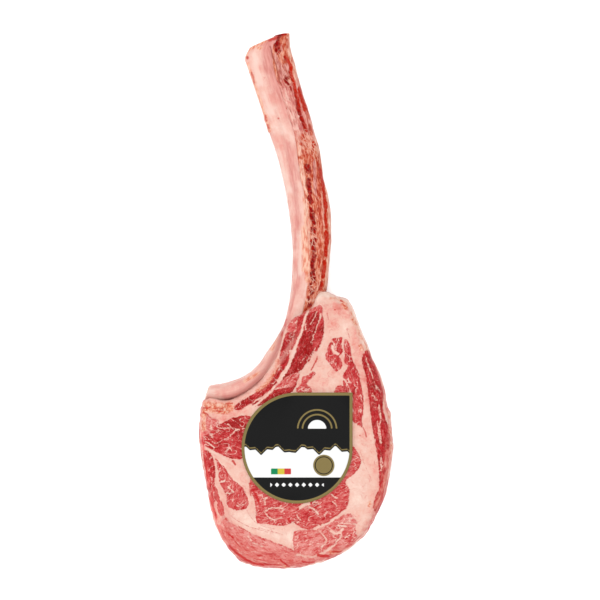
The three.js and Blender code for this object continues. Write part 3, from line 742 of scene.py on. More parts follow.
def make_piece(name, points, faces, attributes, material, node):
    """A smooth-shaded mesh object that stands for a CAD node and rides on the steak's body."""
    points = np.clip(np.asarray(points) * METRES, *np.array(cad_box))
    mesh = bpy.data.meshes.new(name)
    mesh.from_pydata(points.tolist(), [], faces)
    mesh.polygons.foreach_set("use_smooth", np.ones(len(mesh.polygons), bool))
    for key, values in attributes.items():
        values = np.column_stack(values) if isinstance(values, tuple) else values
        layer = mesh.attributes.new(key, "FLOAT_VECTOR", "POINT")
        layer.data.foreach_set("vector", np.asarray(values, np.float32).ravel())
    mesh.materials.append(material)
    mesh.update()
    piece = bpy.data.objects.new(name, mesh)
    bpy.context.collection.objects.link(piece)
    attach(piece, "root")
    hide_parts(node)


def fill_loop(loop, spacing, centre):
    """Even points inside a loop that is star-shaped about the centre, and the triangles between them all.
    The loop's own points come first."""
    low, high = loop.min(axis=0), loop.max(axis=0)
    columns = np.arange(low[0], high[0], spacing)
    rows = np.arange(low[1], high[1], spacing * math.sqrt(3) / 2)
    grid = np.vstack([
        np.column_stack([columns + spacing / 2 * (r % 2), np.full(len(columns), y)])
        for r, y in enumerate(rows)])
    limit = loop_reach(loop, centre, grid) - 0.6 * spacing
    grid = grid[np.linalg.norm(grid - centre, axis=1) < limit]
    points = np.vstack([loop, grid])
    count = len(loop)
    edges = [(k, (k + 1) % count) for k in range(count)]
    made = delaunay_2d_cdt([Vector(p) for p in points], edges, [], 1, 1e-7)
    corners = np.array(made[2])
    a, b, c = points[corners[:, 0]], points[corners[:, 1]], points[corners[:, 2]]
    area = (b[:, 0] - a[:, 0]) * (c[:, 1] - a[:, 1]) - (b[:, 1] - a[:, 1]) * (c[:, 0] - a[:, 0])
    corners[area < 0] = corners[area < 0][:, ::-1]
    return points, corners[np.abs(area) > 1e-6]


def join_rings(ring_count, sides):
    """Quads between equal closed rings, which face outwards when the rings go down."""
    k = np.arange(sides)
    following = (k + 1) % sides
    quads = [np.stack([r * sides + k, (r + 1) * sides + k, (r + 1) * sides + following,
                       r * sides + following], axis=1) for r in range(ring_count - 1)]
    return np.vstack(quads)


def slab(rings, top_step, sole_step, centre, top_height, sole_height):
    """Closes a stack of rings, first the upper one, with a finely meshed face above and below."""
    sides = len(rings[0])
    top, top_faces = fill_loop(rings[0][:, :2], top_step, centre)
    sole, sole_faces = fill_loop(rings[-1][:, :2], sole_step, centre)
    wall = np.vstack(rings)
    top_inner, sole_inner = top[sides:], sole[sides:]
    points = np.vstack([
        wall,
        np.column_stack([top_inner, top_height(top_inner)]),
        np.column_stack([sole_inner, sole_height(sole_inner)]),
    ])
    last = (len(rings) - 1) * sides
    top_faces = np.where(top_faces < sides, top_faces, top_faces - sides + len(wall))
    offset = len(wall) + len(top_inner) - sides
    sole_faces = np.where(sole_faces < sides, sole_faces + last, sole_faces + offset)[:, ::-1]
    faces = join_rings(len(rings), sides).tolist() + top_faces.tolist() + sole_faces.tolist()
    return points, faces


# The steak

def face_height(xy):
    """Height of the upper cut face without its fine relief."""
    z = np.full(len(xy), STEAK_THICKNESS - FACE_SINK)
    for *place, height in FACE_RELIEF.values():
        z += height * spot(xy, *place)
    return z


def muscle_pattern(xy):
    """What the cut shows at each spot: depth inside lean meat, tone, marbling and fibre coordinates."""
    frayed = ragged(xy, CUT_FRAY)
    lean = np.full(len(xy), FAT_DEPTH)
    tone, marbling, turn = np.full(len(xy), 0.5), np.zeros(len(xy)), np.zeros(len(xy))
    for own_tone, own_marbling, own_turn, outline in MUSCLES.values():
        loop = smooth_curve(outline, closed=True, steps=4)
        near = near_line(frayed, loop, MUSCLE_MARGIN)
        depth = depth_inside(frayed[near], loop)
        here = near[depth > lean[near]]
        lean[here] = depth[depth > lean[near]]
        tone[here], marbling[here], turn[here] = own_tone, own_marbling, math.radians(own_turn)
    lean = np.minimum(lean + MUSCLE_GROWTH, lumps(xy, SEAM_SWAY) - mark_depth(frayed, SEAMS))
    tone += DARK_SHIFT * spot(xy, *DARK_PATCH) + GREY_SHIFT * spot(xy, *GREY_PATCH)
    along = xy[:, 0] * np.cos(turn) + xy[:, 1] * np.sin(turn)
    across = xy[:, 1] * np.cos(turn) - xy[:, 0] * np.sin(turn)
    return {"cut": (lean, tone, marbling), "flow": (along, across, FIBRE_SHIFT * turn)}


def label_depth(xy):
    """How deep a spot lies under the label, below 0 beside it."""
    x, y = xy[:, 0] - LABEL_CENTRE[0], xy[:, 1] - LABEL_CENTRE[1]
    corner = (x > 0) & (y > 0)
    return np.where(corner, LABEL_RADIUS - np.maximum(x, y), LABEL_RADIUS - np.hypot(x, y))


def fine_relief(xy, lean):
    """Small unevenness of the cut face: soft lumps, and seams that sink a little between the muscles.
    The label presses it almost flat."""
    seam = np.exp(-((lean - SEAM_MIDDLE) / SEAM_WIDTH) ** 2)
    relief = lumps(xy, FACE_LUMPS) + LEAN_RISE * soft_step(lean, *LEAN_EDGE) - SEAM_DIP * seam
    relief += soft_step(mark_depth(xy, CUT_AMBER), *CRUST_EDGE) * lumps(xy, CRUST_LUMPS)
    relief += spots(xy, FAT_KNOBS) * lumps(xy, KNOB_LUMPS)
    return (relief - RELIEF_DROP) * (1 - PRESSED_FLAT * soft_step(label_depth(xy), *LABEL_EDGE))


def cut_surface(xy):
    return face_height(xy) + fine_relief(xy, muscle_pattern(xy)["cut"][0])


def sole_surface(xy):
    return np.maximum(0, lumps(xy, SOLE_LUMPS) - SOLE_WEAR)


def torn_outline():
    """The steak's frayed outline, and the way outwards at each of its points."""
    outline = counter_clockwise(even_curve(smooth_curve(STEAK_OUTLINE, True), CUT_STEP, True))
    ray = outline - STEAK_CENTRE
    ray = ray / np.linalg.norm(ray, axis=1, keepdims=True)
    torn = lumps(outline, EDGE_TEARS) + spots(outline, FAT_KNOBS) * lumps(outline, KNOB_TEARS) - EDGE_WEAR
    return outline + ray * torn[:, None], ray


def steak_rings():
    """Rings from the upper cut face round the rim, down the wall and in to the sole."""
    outline, ray = torn_outline()
    bone = np.array(BONE_STATIONS)
    by_bone = line_distance(outline, (bone[:, 0:2] + bone[:, 2:4]) / 2)
    tight = 1 - TIGHTEST_RIM * np.exp(-(by_bone / TIGHT_REACH) ** 2)
    level = np.ones(len(outline))

    def ring(inset, height, dent=1.0):
        xy = outline - ray * inset[:, None]
        z = height(xy)
        strand = np.column_stack([ray * STRAND_RADIUS, z])
        hollow = WALL_HOLLOW + lumps(np.column_stack([xy, z]), WALL_HOLLOWS) + lumps(strand, STRAND_HOLLOWS)
        return np.column_stack([xy - ray * (hollow * dent)[:, None], z])

    def rim(share, size):
        """Inset and drop on the way round the rim, from the flat face at 0 to the wall at 1."""
        a = share * math.pi / 2
        return (SIDE_BULGE + RIM_INSET * (1 - math.sin(a))) * size, RIM_DROP * (1 - math.cos(a)) * size

    rings = []
    for s in np.linspace(0, 1, RIM_STEPS):
        inset, drop = rim(s, tight)
        rings.append(ring(inset, lambda xy: cut_surface(xy) - drop, s))
    shoulder = rings[-1][:, 2]
    steps = round((STEAK_THICKNESS - 2 * RIM_DROP) / SIDE_STEP)
    for s in np.linspace(0, 1, steps + 1)[1:-1]:
        inset = SIDE_BULGE * (2 * s - 1) ** 2 * level
        rings.append(ring(inset, lambda xy: shoulder * (1 - s) + RIM_DROP * s))
    for s in np.linspace(1, 0, RIM_STEPS // 2):
        inset, above_sole = rim(s, level)
        rings.append(ring(inset, lambda xy: above_sole, s))
    return rings


def steak_piece(material):
    rings = steak_rings()
    centre = np.array(STEAK_CENTRE, float)
    points, faces = slab(rings, CUT_STEP, SOLE_STEP, centre, cut_surface, sole_surface)
    attributes = cut_attributes(points, rings[0][:, :2])
    make_piece("steak", points, faces, attributes, material, "steak_meat")


def cut_attributes(points, top_edge):
    """The pattern that the steak's material shows. It follows the muscles right through to the sole."""
    flat, z = points[:, :2], points[:, 2]
    drift = np.stack([lumps(points, rows) for rows in DRIFT], axis=1)
    xy = flat + soft_step(z, *DRIFT_HEIGHTS)[:, None] * drift
    attributes = muscle_pattern(xy)
    fall = np.minimum(face_height(flat) - WALL_DEPTH - z, z)
    ray = flat - STEAK_CENTRE
    reach = np.linalg.norm(ray, axis=1)
    inward = loop_reach(top_edge, STEAK_CENTRE, flat) - reach - np.maximum(0, fall)
    direction = STRAND_RADIUS * ray / np.maximum(reach, 1)[:, None]
    strands, side, plain = rim_strands(points, inward, fall)
    lean, tone, marbling = attributes["cut"]
    lean = lean - LEAN_LOSS * soft_step(fall + lumps(points, WALL_LEAN_SWAY), *LEAN_END)
    hidden = FAR * soft_step(fall, *MARKS_END)
    amber = mark_depth(ragged(xy, CRUST_FRAY), CUT_AMBER) - hidden
    red = mark_depth(ragged(xy, RED_FRAY), CUT_RED) - hidden
    # Plain fat down the rim at the upper right is painted paler: painted light over the rim's shade
    rosy = spots(xy, ROSY_FAT) - PLAIN_RIM_LIGHT * plain * soft_step(inward, *PLAIN_RIM_LIGHT_START)
    rosy -= SPOT_CREAM * spots(xy, CREAM_FAT)
    rosy -= SEAM_CREAM * soft_step(mark_depth(xy, SEAMS), *SEAM_EDGE)
    # Painted light: a pale pink on the cut meat in the groove beside the rib, against the shade that falls
    # there
    distance = line_distance(xy, smooth_curve(BONE_STATIONS, steps=6)[:, 2:4])
    groove_light = soft_step(distance, *GROOVE_LIGHT_REACH) * soft_step(xy[:, 1], *GROOVE_LIGHT_Y)
    attributes["cut"] = (lean, tone, marbling)
    attributes["tint"] = (amber, red, rosy)
    attributes["strand"] = (direction[:, 0], direction[:, 1], inward)
    attributes["rim"] = (strands, side, groove_light)
    return attributes


def rim_strands(points, inward, fall):
    """How much the torn strands of the rim show, which side of the steak they are on (1 right, -1 left)
    and where plain fat covers them, at the upper right."""
    x, y = points[:, 0], points[:, 1]
    right = soft_step(x, *RIGHT_X) * soft_step(y, *RIGHT_BOTTOM) * soft_step(y, *RIGHT_TOP)
    left = soft_step(x, *LEFT_X)
    plain = soft_step(x, *PLAIN_X) * soft_step(y + lumps(points, PLAIN_FAT_SWAY), *PLAIN_Y)
    plain *= 1 - PLAIN_LOSS * soft_step(fall, *PLAIN_FALL)
    late = LATE_BY * soft_step(x, *LATE_X) * soft_step(y, *LATE_Y)
    lip = spot(points[:, :2], *LIP_STRANDS) * soft_step(inward, *LIP_STRANDS_START)
    strands = np.maximum(soft_step(inward + late, *STRANDS_START), lip)
    strands = np.maximum(strands, right * soft_step(inward, *RIGHT_STRANDS_START))
    return strands * (1 - plain), right - left, plain


# Bars: the rib and the strip of meat along it

def bar_rings(stations, sides, squareness, swell, seam):
    """Rounded-box rings along a bar, and how far along, across and up each point is in millimetres.
    On the side where the other bar lies, 1 or -1, the upper edge is almost square."""
    curve = even_curve(smooth_curve(stations, steps=20), BAR_STEP)
    angle = np.linspace(0, 2 * math.pi, sides, endpoint=False)
    cos, sin = np.cos(angle), np.sin(angle)
    rings, places = [], []
    for i, row in enumerate(curve):
        change = soft_step((row[1] + row[3]) / 2, *SEAM_CHANGE)
        edge = LOW_SEAM_SQUARENESS + (SEAM_SQUARENESS - LOW_SEAM_SQUARENESS) * change
        power = 2 / np.where((cos * seam > 0) & (sin > 0), edge, squareness)
        u, w = np.sign(cos) * np.abs(cos) ** power, np.sign(sin) * np.abs(sin) ** power
        middle, half = (row[0:2] + row[2:4]) / 2, (row[2:4] - row[0:2]) / 2
        width = np.linalg.norm(half)
        ring = np.column_stack([middle + u[:, None] * half, row[4] + w * row[5]])
        outward = np.column_stack([np.outer(u, half / width), w])
        rings.append(ring + outward * swell(ring, u, w, i / (len(curve) - 1))[:, None])
        places.append(np.column_stack([np.full(sides, i * BAR_STEP), u * width, w * row[5], w]))
    return rings, places


def close_bar(rings, places, bulge):
    """Adds sawn ends to a bar: shrinking rings that bulge a little, and the fan in the middle."""
    sides = len(rings[0])

    def end(ring, place, direction):
        middle = ring.mean(axis=0)
        made = []
        for share in END_RINGS:
            shrunk = middle + (ring - middle) * share + direction * bulge * (1 - share ** 8)
            uneven = lumps(shrunk, SAWN_LUMPS) * min(1, 6 * (1 - share))
            made.append((shrunk + np.outer(uneven, direction), place * (1, share, share, 1)))
        return made

    start = end(rings[0], places[0], (rings[0] - rings[1]).mean(axis=0) / BAR_STEP)
    finish = end(rings[-1], places[-1], (rings[-1] - rings[-2]).mean(axis=0) / BAR_STEP)
    every = start[::-1] + list(zip(rings, places)) + finish
    points = np.vstack([ring for ring, _ in every])
    where = np.vstack([place for _, place in every])
    middles = np.vstack([every[0][0].mean(axis=0), every[-1][0].mean(axis=0)])
    faces = join_rings(len(every), sides).tolist()
    first, last = len(points), len(points) + 1
    tail = (len(every) - 1) * sides
    for k in range(sides):
        following = (k + 1) % sides
        faces.append((first, k, following))
        faces.append((last, tail + following, tail + k))
    ends = np.array([[where[0, 0], 0, 0, 0], [where[-1, 0], 0, 0, 0]])
    cut = [[1 - share] * sides for share in END_RINGS]
    sawn = np.concatenate(cut[::-1] + [np.zeros(len(rings) * sides)] + cut + [[1, 1]])
    return np.vstack([points, middles]), faces, np.vstack([where, ends]), sawn


def side_marks(where, size, seed):
    """Irregular long marks for a bar's flanks and underside, as depths: broad ones and finer ones."""
    (broad, broad_pull), (fine, fine_pull) = SIDE_MARKS
    place = where[:, :3]
    depth = broad * noise(place * (broad_pull, 1, 1), size, seed)
    return depth + fine * noise(place * (fine_pull, 1, 1), size / 3, seed + 1) - SIDE_MARKS_LESS


def bone_piece(material):
    def swell(ring, u, w, share):
        middle = HOLLOW_START + HOLLOW_MOVE * soft_step(share, *HOLLOW_MOVES)
        depth = HOLLOW_DEPTH * soft_step(share, *HOLLOW_DEEPENS)
        dip = np.where(w > 0, depth * np.exp(-((u - middle) / HOLLOW_WIDTH) ** 2) * w, 0)
        scraps = soft_step(mark_depth(ring[:, :2], BONE_SCRAPS), -1.2, 0.3) * (u < -0.5)
        scraps = SCRAP_HEIGHT * scraps * soft_step(w, -0.3, 0.2)
        closer = BONE_SWELL * soft_step(u, *SWELL_START) - BONE_SINK
        return lumps(ring, BONE_LUMPS) - dip + closer + scraps

    rings, places = bar_rings(BONE_STATIONS, BONE_SIDES, BONE_SQUARENESS, swell, 1)
    points, faces, where, sawn = close_bar(rings, places, BONE_END_BULGE)
    xy = ragged(points[:, :2], BONE_FRAY)
    top = soft_step(where[:, 3], *UPPER_SIDE)
    low = 1 - top
    below = side_marks(where, 9, 81)
    dusk_and_shade = mark_depth(xy, BONE_DUSK_AND_SHADE) * top + low * below
    cream = mark_depth(xy, BONE_CREAM) * top + low * (-2 - below)
    amber = mark_depth(xy, BONE_AMBER + BONE_SCRAPS) * top + low * (side_marks(where, 6, 85) - 2.5)
    red = mark_depth(xy, BONE_RED) - FAR * (1 - soft_step(where[:, 3], *UPPER_SIDE_RED))
    crease_shade = mark_depth(xy, RIB_CREASE_SHADE) - FAR * low
    attributes = {
        "place": where[:, :3],
        "tint": (dusk_and_shade, cream, amber),
        # The spots attribute also carries painted shade: in the creases by the strip and in the groove
        # beside the steak
        "spots": (red, crease_shade, steak_shade(points)),
        "ends": (sawn, sawn, sawn),
    }
    make_piece("rib", points, faces, attributes, material, "rib_bone")


def steak_shade(points):
    """1 on the rib where it dips towards the steak's rim: painted shade in the groove between them."""
    inside = depth_inside(points[:, :2], smooth_curve(STEAK_OUTLINE, closed=True, steps=6))
    shade = soft_step(inside, *SHADE_IN) * (1 - soft_step(inside, *SHADE_OUT))
    return shade * soft_step(points[:, 1], *SHADE_Y) * soft_step(points[:, 0], *SHADE_X)


def trim_piece(material):
    def swell(ring, u, w, _share):
        above = np.maximum(w, 0)
        dark = soft_step(mark_depth(ring[:, :2], TRIM_DARK), -1.2, 0.9) * above
        pale = soft_step(mark_depth(ring[:, :2], TRIM_PALE), -0.8, 0.8) * above
        uneven = lumps(ring, TRIM_LUMPS) + lumps(ring * (1, 0.35, 1), TRIM_STREAKS)
        closer = TRIM_SWELL * soft_step(np.abs(u), *SWELL_START) - TRIM_SINK
        return uneven + closer - DARK_DIP * dark + PALE_RISE * pale

    rings, places = bar_rings(TRIM_STATIONS, TRIM_SIDES, TRIM_SQUARENESS, swell, -1)
    points, faces, where, sawn = close_bar(rings, places, TRIM_END_BULGE)
    xy = ragged(points[:, :2], TRIM_FRAY)
    top = soft_step(where[:, 3], *UPPER_SIDE)
    low = 1 - top
    dark = (mark_depth(xy, TRIM_DARK) + 0.5) * top + low * (side_marks(where, 5, 91) - 1)
    brown = mark_depth(xy, TRIM_BROWN) * top + low * (side_marks(where, 6, 93) - 0.6)
    pale = (mark_depth(xy, TRIM_PALE) + 0.2) * top + low * side_marks(where, 7, 95)
    grey = mark_depth(xy, TRIM_GREY) - FAR * low
    crease_shade = mark_depth(xy, RIB_CREASE_SHADE) - FAR * low
    net = np.minimum(NET_MOST, NET_ELSEWHERE + spots(xy, NET_PLACES)) * top + NET_BELOW * low
    attributes = {
        "place": where[:, :3],
        "tint": (dark, brown, pale),
        # The sinew attribute also carries painted shade in the creases by the rib
        "sinew": (grey, crease_shade, net),
        "ends": (sawn, sawn, sawn),
    }
    make_piece("rib_trim_strip", points, faces, attributes, material, "rib_trim")


# The label

def label_piece(material):
    angle = np.linspace(math.pi / 2, 2 * math.pi, 120)
    edge = LABEL_RADIUS * np.column_stack([np.cos(angle), np.sin(angle)])
    edge = np.vstack([edge, [(LABEL_RADIUS, LABEL_RADIUS)]])
    centre = np.array(LABEL_CENTRE)
    loop = counter_clockwise(even_curve(edge, LABEL_STEP, True)) + centre

    def sheet(lift):
        return lambda xy: face_height(xy) + lift

    front, back = sheet(LABEL_GAP + LABEL_THICKNESS), sheet(LABEL_GAP)
    rings = [np.column_stack([loop, face(loop)]) for face in (front, back)]
    points, faces = slab(rings, LABEL_STEP, LABEL_BACK_STEP, centre, front, back)
    xy = points[:, :2] - centre
    attributes = {"print": label_print(xy, label_depth(points[:, :2])), "badges": label_badges(xy)}
    make_piece("label_sheet", points, faces, attributes, material, "label")


def label_print(xy, depth):
    """Depths inside the whole print, its white parts and its gold lines."""
    x, y = xy.T
    hills = -5.5 + 5 * (1 - np.abs(((x + 5) / 11) % 2 - 1)) + 2.4 * (1 - np.abs(((x + 1) / 4.3) % 2 - 1))
    white = np.minimum(hills - y, y + 22)
    diamonds = 1.7 - np.abs((x + 2.5) % 5 - 2.5) - np.abs(y + 27.5)
    white = np.maximum(white, np.minimum(diamonds, 20 - np.abs(x)))
    gold = 0.45 - np.abs(y - hills - 1.6)
    for radius in (11, 14.5):
        ring = 0.6 - np.abs(np.hypot(x - 15, y - 14) - radius)
        gold = np.maximum(gold, np.minimum(ring, y - 14.5))
    return depth, np.minimum(white, depth - LABEL_MARGIN), gold


def label_badges(xy):
    """Depths inside a plain gold disc, a white half moon and a row of three coloured bars."""
    x, y = xy.T
    disc = 8 - np.hypot(x - 20, y + 13)
    moon = np.minimum(7 - np.hypot(x - 15, y - 14), y - 14.5)
    bars = np.minimum(2.2 - np.abs(y + 17.5), 7.5 - np.abs(x + 12))
    return disc, moon, bars


# Materials

def rgb(red, green, blue):
    """The surface colour that shows as this screen colour, 0 to 255, under the studio light."""
    seen = np.array((red, green, blue)) / 255
    linear = np.where(seen < 0.04045, seen / 12.92, ((seen + 0.055) / 1.055) ** 2.4)
    surface = np.clip((linear - SURFACE_SHEEN) / STUDIO_LIGHT, 0.0005, 0.95)
    return (*surface.tolist(), 1.0)


class Paint:
    """Writes a material's nodes. Every value may be a socket or a plain number; sizes are millimetres."""

    def __init__(self, name):
        self.material = bpy.data.materials.new(name)
        self.material.use_nodes = True
        self.tree = self.material.node_tree
        self.shader = self.tree.nodes["Principled BSDF"]
        where = self.node("TexCoord").outputs["Object"]
        self.place = self.node("VectorMath", {0: where, "Scale": 1 / METRES}, operation="SCALE").outputs[0]

    def node(self, kind, inputs=None, **settings):
        node = self.tree.nodes.new("ShaderNode" + kind)
        for key, value in settings.items():
            setattr(node, key, value)
        for key, value in (inputs or {}).items():
            self.put(node.inputs[key], value)
        return node

    def put(self, socket, value):
        if isinstance(value, bpy.types.NodeSocket):
            self.tree.links.new(value, socket)
        else:
            socket.default_value = value

    def math(self, operation, a, b=0.0, c=0.0):
        return self.node("Math", {0: a, 1: b, 2: c}, operation=operation).outputs[0]

    def times(self, *factors):
        return functools.reduce(lambda a, b: self.math("MULTIPLY", a, b), factors)

    def total(self, *terms):
        return functools.reduce(lambda a, b: self.math("ADD", a, b), terms)

    def vector(self, name):
        return self.node("Attribute", attribute_name=name).outputs["Vector"]

    def split(self, vector):
        return list(self.node("SeparateXYZ", {0: vector}).outputs)

    def parts(self, name):
        return self.split(self.vector(name))

    def stretch(self, vector, x=1, y=1, z=1):
        """Space whose patterns are drawn out where a factor is below 1."""
        return self.node("VectorMath", {0: vector, 1: (x, y, z)}, operation="MULTIPLY").outputs[0]

    def slant(self, vector, turn, length):
        """Space that is pulled out to some length along one direction, a turn from its first axis."""
        inputs = {"Vector": vector, "Rotation": (0, 0, turn), "Scale": (length, 1, 1)}
        return self.node("Mapping", inputs, vector_type="TEXTURE").outputs[0]

    def warp(self, vector, size, amount):
        """Space that is bent about by some amount."""
        inputs = {"Vector": vector, "Scale": 1 / size, "Detail": 2.0}
        colour = self.node("TexNoise", inputs).outputs[1]
        push = self.node("VectorMath", {0: colour, 1: (0.5, 0.5, 0.5)}, operation="SUBTRACT").outputs[0]
        inputs = {0: push, 1: (2 * amount,) * 3, 2: vector}
        return self.node("VectorMath", inputs, operation="MULTIPLY_ADD").outputs[0]

    def noise(self, vector, size, detail=2.0, roughness=0.5):
        inputs = {"Vector": vector, "Scale": 1 / size, "Detail": detail, "Roughness": roughness}
        return self.node("TexNoise", inputs).outputs[0]

    def swing(self, value, amount):
        """A noise value of 0 to 1 made to swing about 0."""
        return self.math("MULTIPLY_ADD", value, 2 * amount, -amount)

    def veins(self, vector, size, width):
        """Thin winding lines, 1 along their middle."""
        off = self.math("ABSOLUTE", self.math("SUBTRACT", self.noise(vector, size, 1), 0.5))
        return self.step(self.math("DIVIDE", off, width), 1.0, 0.3)

    def edges(self, vector, size):
        """Distance in millimetres to the walls of irregular cells of some size."""
        inputs = {"Vector": vector, "Scale": 1 / size}
        cells = self.node("TexVoronoi", inputs, feature="DISTANCE_TO_EDGE").outputs["Distance"]
        return self.math("MULTIPLY", cells, size)

    def step(self, value, low, high, start=0.0, end=1.0):
        """From start to end, smoothly, while the value goes from low to high."""
        inputs = {"Value": value, "From Min": low, "From Max": high, "To Min": start, "To Max": end}
        return self.node("MapRange", inputs, interpolation_type="SMOOTHSTEP").outputs[0]

    def ramp(self, value, *stops):
        """A colour that follows the value through stops of a value and a screen colour."""
        node = self.node("ValToRGB", {0: value})
        marks = node.color_ramp.elements
        while len(marks) < len(stops):
            marks.new(0.5)
        for mark, (at, colour) in zip(marks, stops):
            mark.position, mark.color = at, rgb(*colour)
        return node.outputs[0]

    def mix(self, share, a, b):
        a, b = (rgb(*colour) if isinstance(colour, tuple) else colour for colour in (a, b))
        return self.node("Mix", {0: share, 6: a, 7: b}, data_type="RGBA").outputs[2]

    def cover(self, colour, paint, value, low, high, most=1.0):
        """A colour under a paint that comes in while the value goes from low to high."""
        return self.mix(self.step(value, low, high, 0.0, most), colour, paint)

    def finish(self, colour, roughness, height, depth, ior=MOIST_IOR):
        """Sets the surface; height is relief from 0 to 1 over depth in millimetres."""
        bump = self.node("Bump", {"Height": height, "Distance": depth * METRES, "Strength": 1.0})
        settings = {"Base Color": colour, "Roughness": roughness, "IOR": ior, "Normal": bump.outputs[0]}
        for key, value in settings.items():
            self.put(self.shader.inputs[key], value)
        return self.material


def fat_colour(p, rosy):
    """Creamy to pinkish fat with faint darker veins."""
    blotch = p.noise(p.place, 7, 4, 0.6)
    fine = p.noise(p.place, 1.6, 3, 0.65)
    tone = p.total(blotch, p.times(rosy, 0.2), p.swing(fine, 0.25))
    fat = p.ramp(tone, (0.0, (255, 224, 208)), (0.3, (244, 203, 188)), (0.48, (242, 193, 177)),
                 (0.62, (240, 180, 165)), (0.74, (237, 161, 148)), (0.9, (228, 136, 124)))
    vein = p.veins(p.warp(p.place, 4, 1.6), 7, 0.03)
    patch = p.step(p.noise(p.place, 6), 0.5, 0.64)
    return p.mix(p.times(vein, patch, 0.4), fat, (226, 130, 124))


def lean_colour(p, tone, marbling, flow):
    """Red meat: grains, a fine pale net and thicker marbling along its fibres."""
    grain = p.noise(p.stretch(flow, 0.42), 0.95, 3, 0.7)
    middle = p.noise(p.stretch(flow, 0.5), 2.6, 2, 0.6)
    broad = p.noise(p.place, 9)
    tone = p.total(tone, p.swing(grain, 0.9), p.swing(middle, 0.5), p.swing(broad, 0.35), 0.05)
    red = p.ramp(tone, (0.0, (233, 154, 146)), (0.22, (218, 112, 106)), (0.48, (206, 75, 76)),
                 (0.72, (190, 43, 48)), (1.0, (158, 7, 14)))
    bent = p.warp(p.stretch(flow, 0.55), 2.2, 0.8)
    speck = p.step(p.noise(p.stretch(flow, 0.6), 0.75, 2, 0.6), 0.54, 0.66, 0, 0.5)
    fine = p.times(p.veins(bent, 1.9, 0.03), 0.25)
    fine = p.math("MAXIMUM", fine, p.times(speck, p.step(tone, 1.2, 0.4)))
    patch = p.step(p.noise(p.place, 6), 0.38, 0.62)
    coarse = p.veins(bent, 4.6, p.total(p.times(marbling, patch, 0.036), 0.001))
    dash = p.step(p.noise(p.stretch(flow, 0.4), 1.2), 0.6, 0.7)
    dash = p.times(dash, p.step(p.noise(p.place, 5), 0.44, 0.6), p.step(marbling, 0, 0.6, 0.06, 0.8))
    pale = p.math("MAXIMUM", p.times(coarse, 0.8), dash)
    red = p.mix(fine, red, (232, 142, 134))
    return p.mix(pale, red, (248, 204, 190)), grain


def wall_colour(p):
    """The steak's side: fat and skin over lean, with fibres that run through the thickness."""
    fibre = p.noise(p.warp(p.stretch(p.place, z=0.3), 5, 1), 1.6, 3, 0.6)
    tone = p.total(p.noise(p.place, 13, 3, 0.55), p.swing(fibre, 0.22))
    return p.ramp(tone, (0.34, (184, 44, 48)), (0.43, (207, 84, 82)), (0.49, (228, 138, 128)),
                  (0.54, (243, 184, 168)), (0.68, (248, 208, 192)))


def rim_colour(p, long, side, down_wall):
    """Torn muscle and membrane along the rim, in long strands: yellowish on the right of the steak, bright
    red and white on its left, made brighter there as painted light over the rim's shade. The wall shows
    below it."""
    rim = p.ramp(long, (0.36, (188, 38, 44)), (0.44, (208, 84, 80)), (0.5, (226, 130, 121)),
                 (0.57, (218, 108, 100)), (0.65, (248, 196, 182)))
    rim = p.mix(p.times(p.step(side, 0, 1), p.step(long, 0.46, 0.58), 0.55), rim, (238, 160, 140))
    bright = p.ramp(long, (0.4, (236, 50, 58)), (0.5, (248, 112, 106)), (0.6, (255, 176, 162)),
                    (0.7, (255, 222, 212)))
    # The left rim: its own bright red and white, partly painted light over the rim's shade
    rim = p.cover(rim, bright, side, 0, -1)
    return p.mix(down_wall, rim, wall_colour(p))


def crust_colour(p):
    """Orange gristle and dried fat."""
    crust = p.noise(p.warp(p.place, 3, 1.2), 2.2, 3, 0.65)
    return p.ramp(crust, (0.34, (204, 78, 52)), (0.42, (222, 118, 88)), (0.5, (236, 158, 132)),
                  (0.58, (243, 186, 160)), (0.68, (248, 212, 194)))


def meat_material():
    """The cut face, its frayed rim and the steak's side."""
    p = Paint("marbled_meat")
    lean, tone, marbling = p.parts("cut")
    amber, red, rosy = p.parts("tint")
    strands, side, groove_light = p.parts("rim")
    strand = p.vector("strand")
    fray = p.total(p.swing(p.noise(p.place, 1.5, 2, 0.6), 0.9), p.swing(p.noise(p.place, 0.7, 1), 0.5))
    meat, grain = lean_colour(p, tone, marbling, p.vector("flow"))
    colour = p.cover(fat_colour(p, rosy), meat, p.total(lean, fray), -0.2, 0.3)

    long = p.noise(p.warp(p.stretch(strand, z=0.9), 4, 0.7), 1.25, 3, 0.7)
    down_wall = p.step(p.split(strand)[2], -7, -13)
    open_share = p.step(p.noise(p.place, 5, 3), 0.34, 0.52, 0.3, 0.95)
    share = p.times(strands, p.math("MAXIMUM", open_share, down_wall))
    colour = p.mix(share, colour, rim_colour(p, long, side, down_wall))

    colour = p.cover(colour, crust_colour(p), p.total(amber, fray), -1.0, 0.8, 0.9)
    # Painted light in the groove beside the rib
    colour = p.mix(p.times(groove_light, 0.5), colour, (236, 170, 158))
    colour = p.cover(colour, (198, 40, 42), p.total(red, p.times(fray, 0.4)), -0.4, 0.25, 0.85)

    height = p.total(p.times(grain, 0.6), p.times(strands, long, 1.2), p.times(fray, 0.1))
    roughness = p.step(p.noise(p.place, 2.5), 0.35, 0.65, 0.34, 0.55)
    return p.finish(colour, roughness, height, 0.3)


def sawn_colour(p, colour):
    """A sawn end: a pale ring of hard bone round red marrow."""
    sawn = p.parts("ends")[0]
    marrow = p.ramp(p.noise(p.place, 1.3, 3), (0.38, (146, 38, 32)), (0.5, (190, 84, 68)),
                    (0.62, (228, 164, 144)))
    colour = p.cover(colour, (246, 224, 204), sawn, 0.01, 0.05)
    return p.cover(colour, marrow, p.total(sawn, p.swing(p.noise(p.place, 3), 0.1)), 0.2, 0.28)


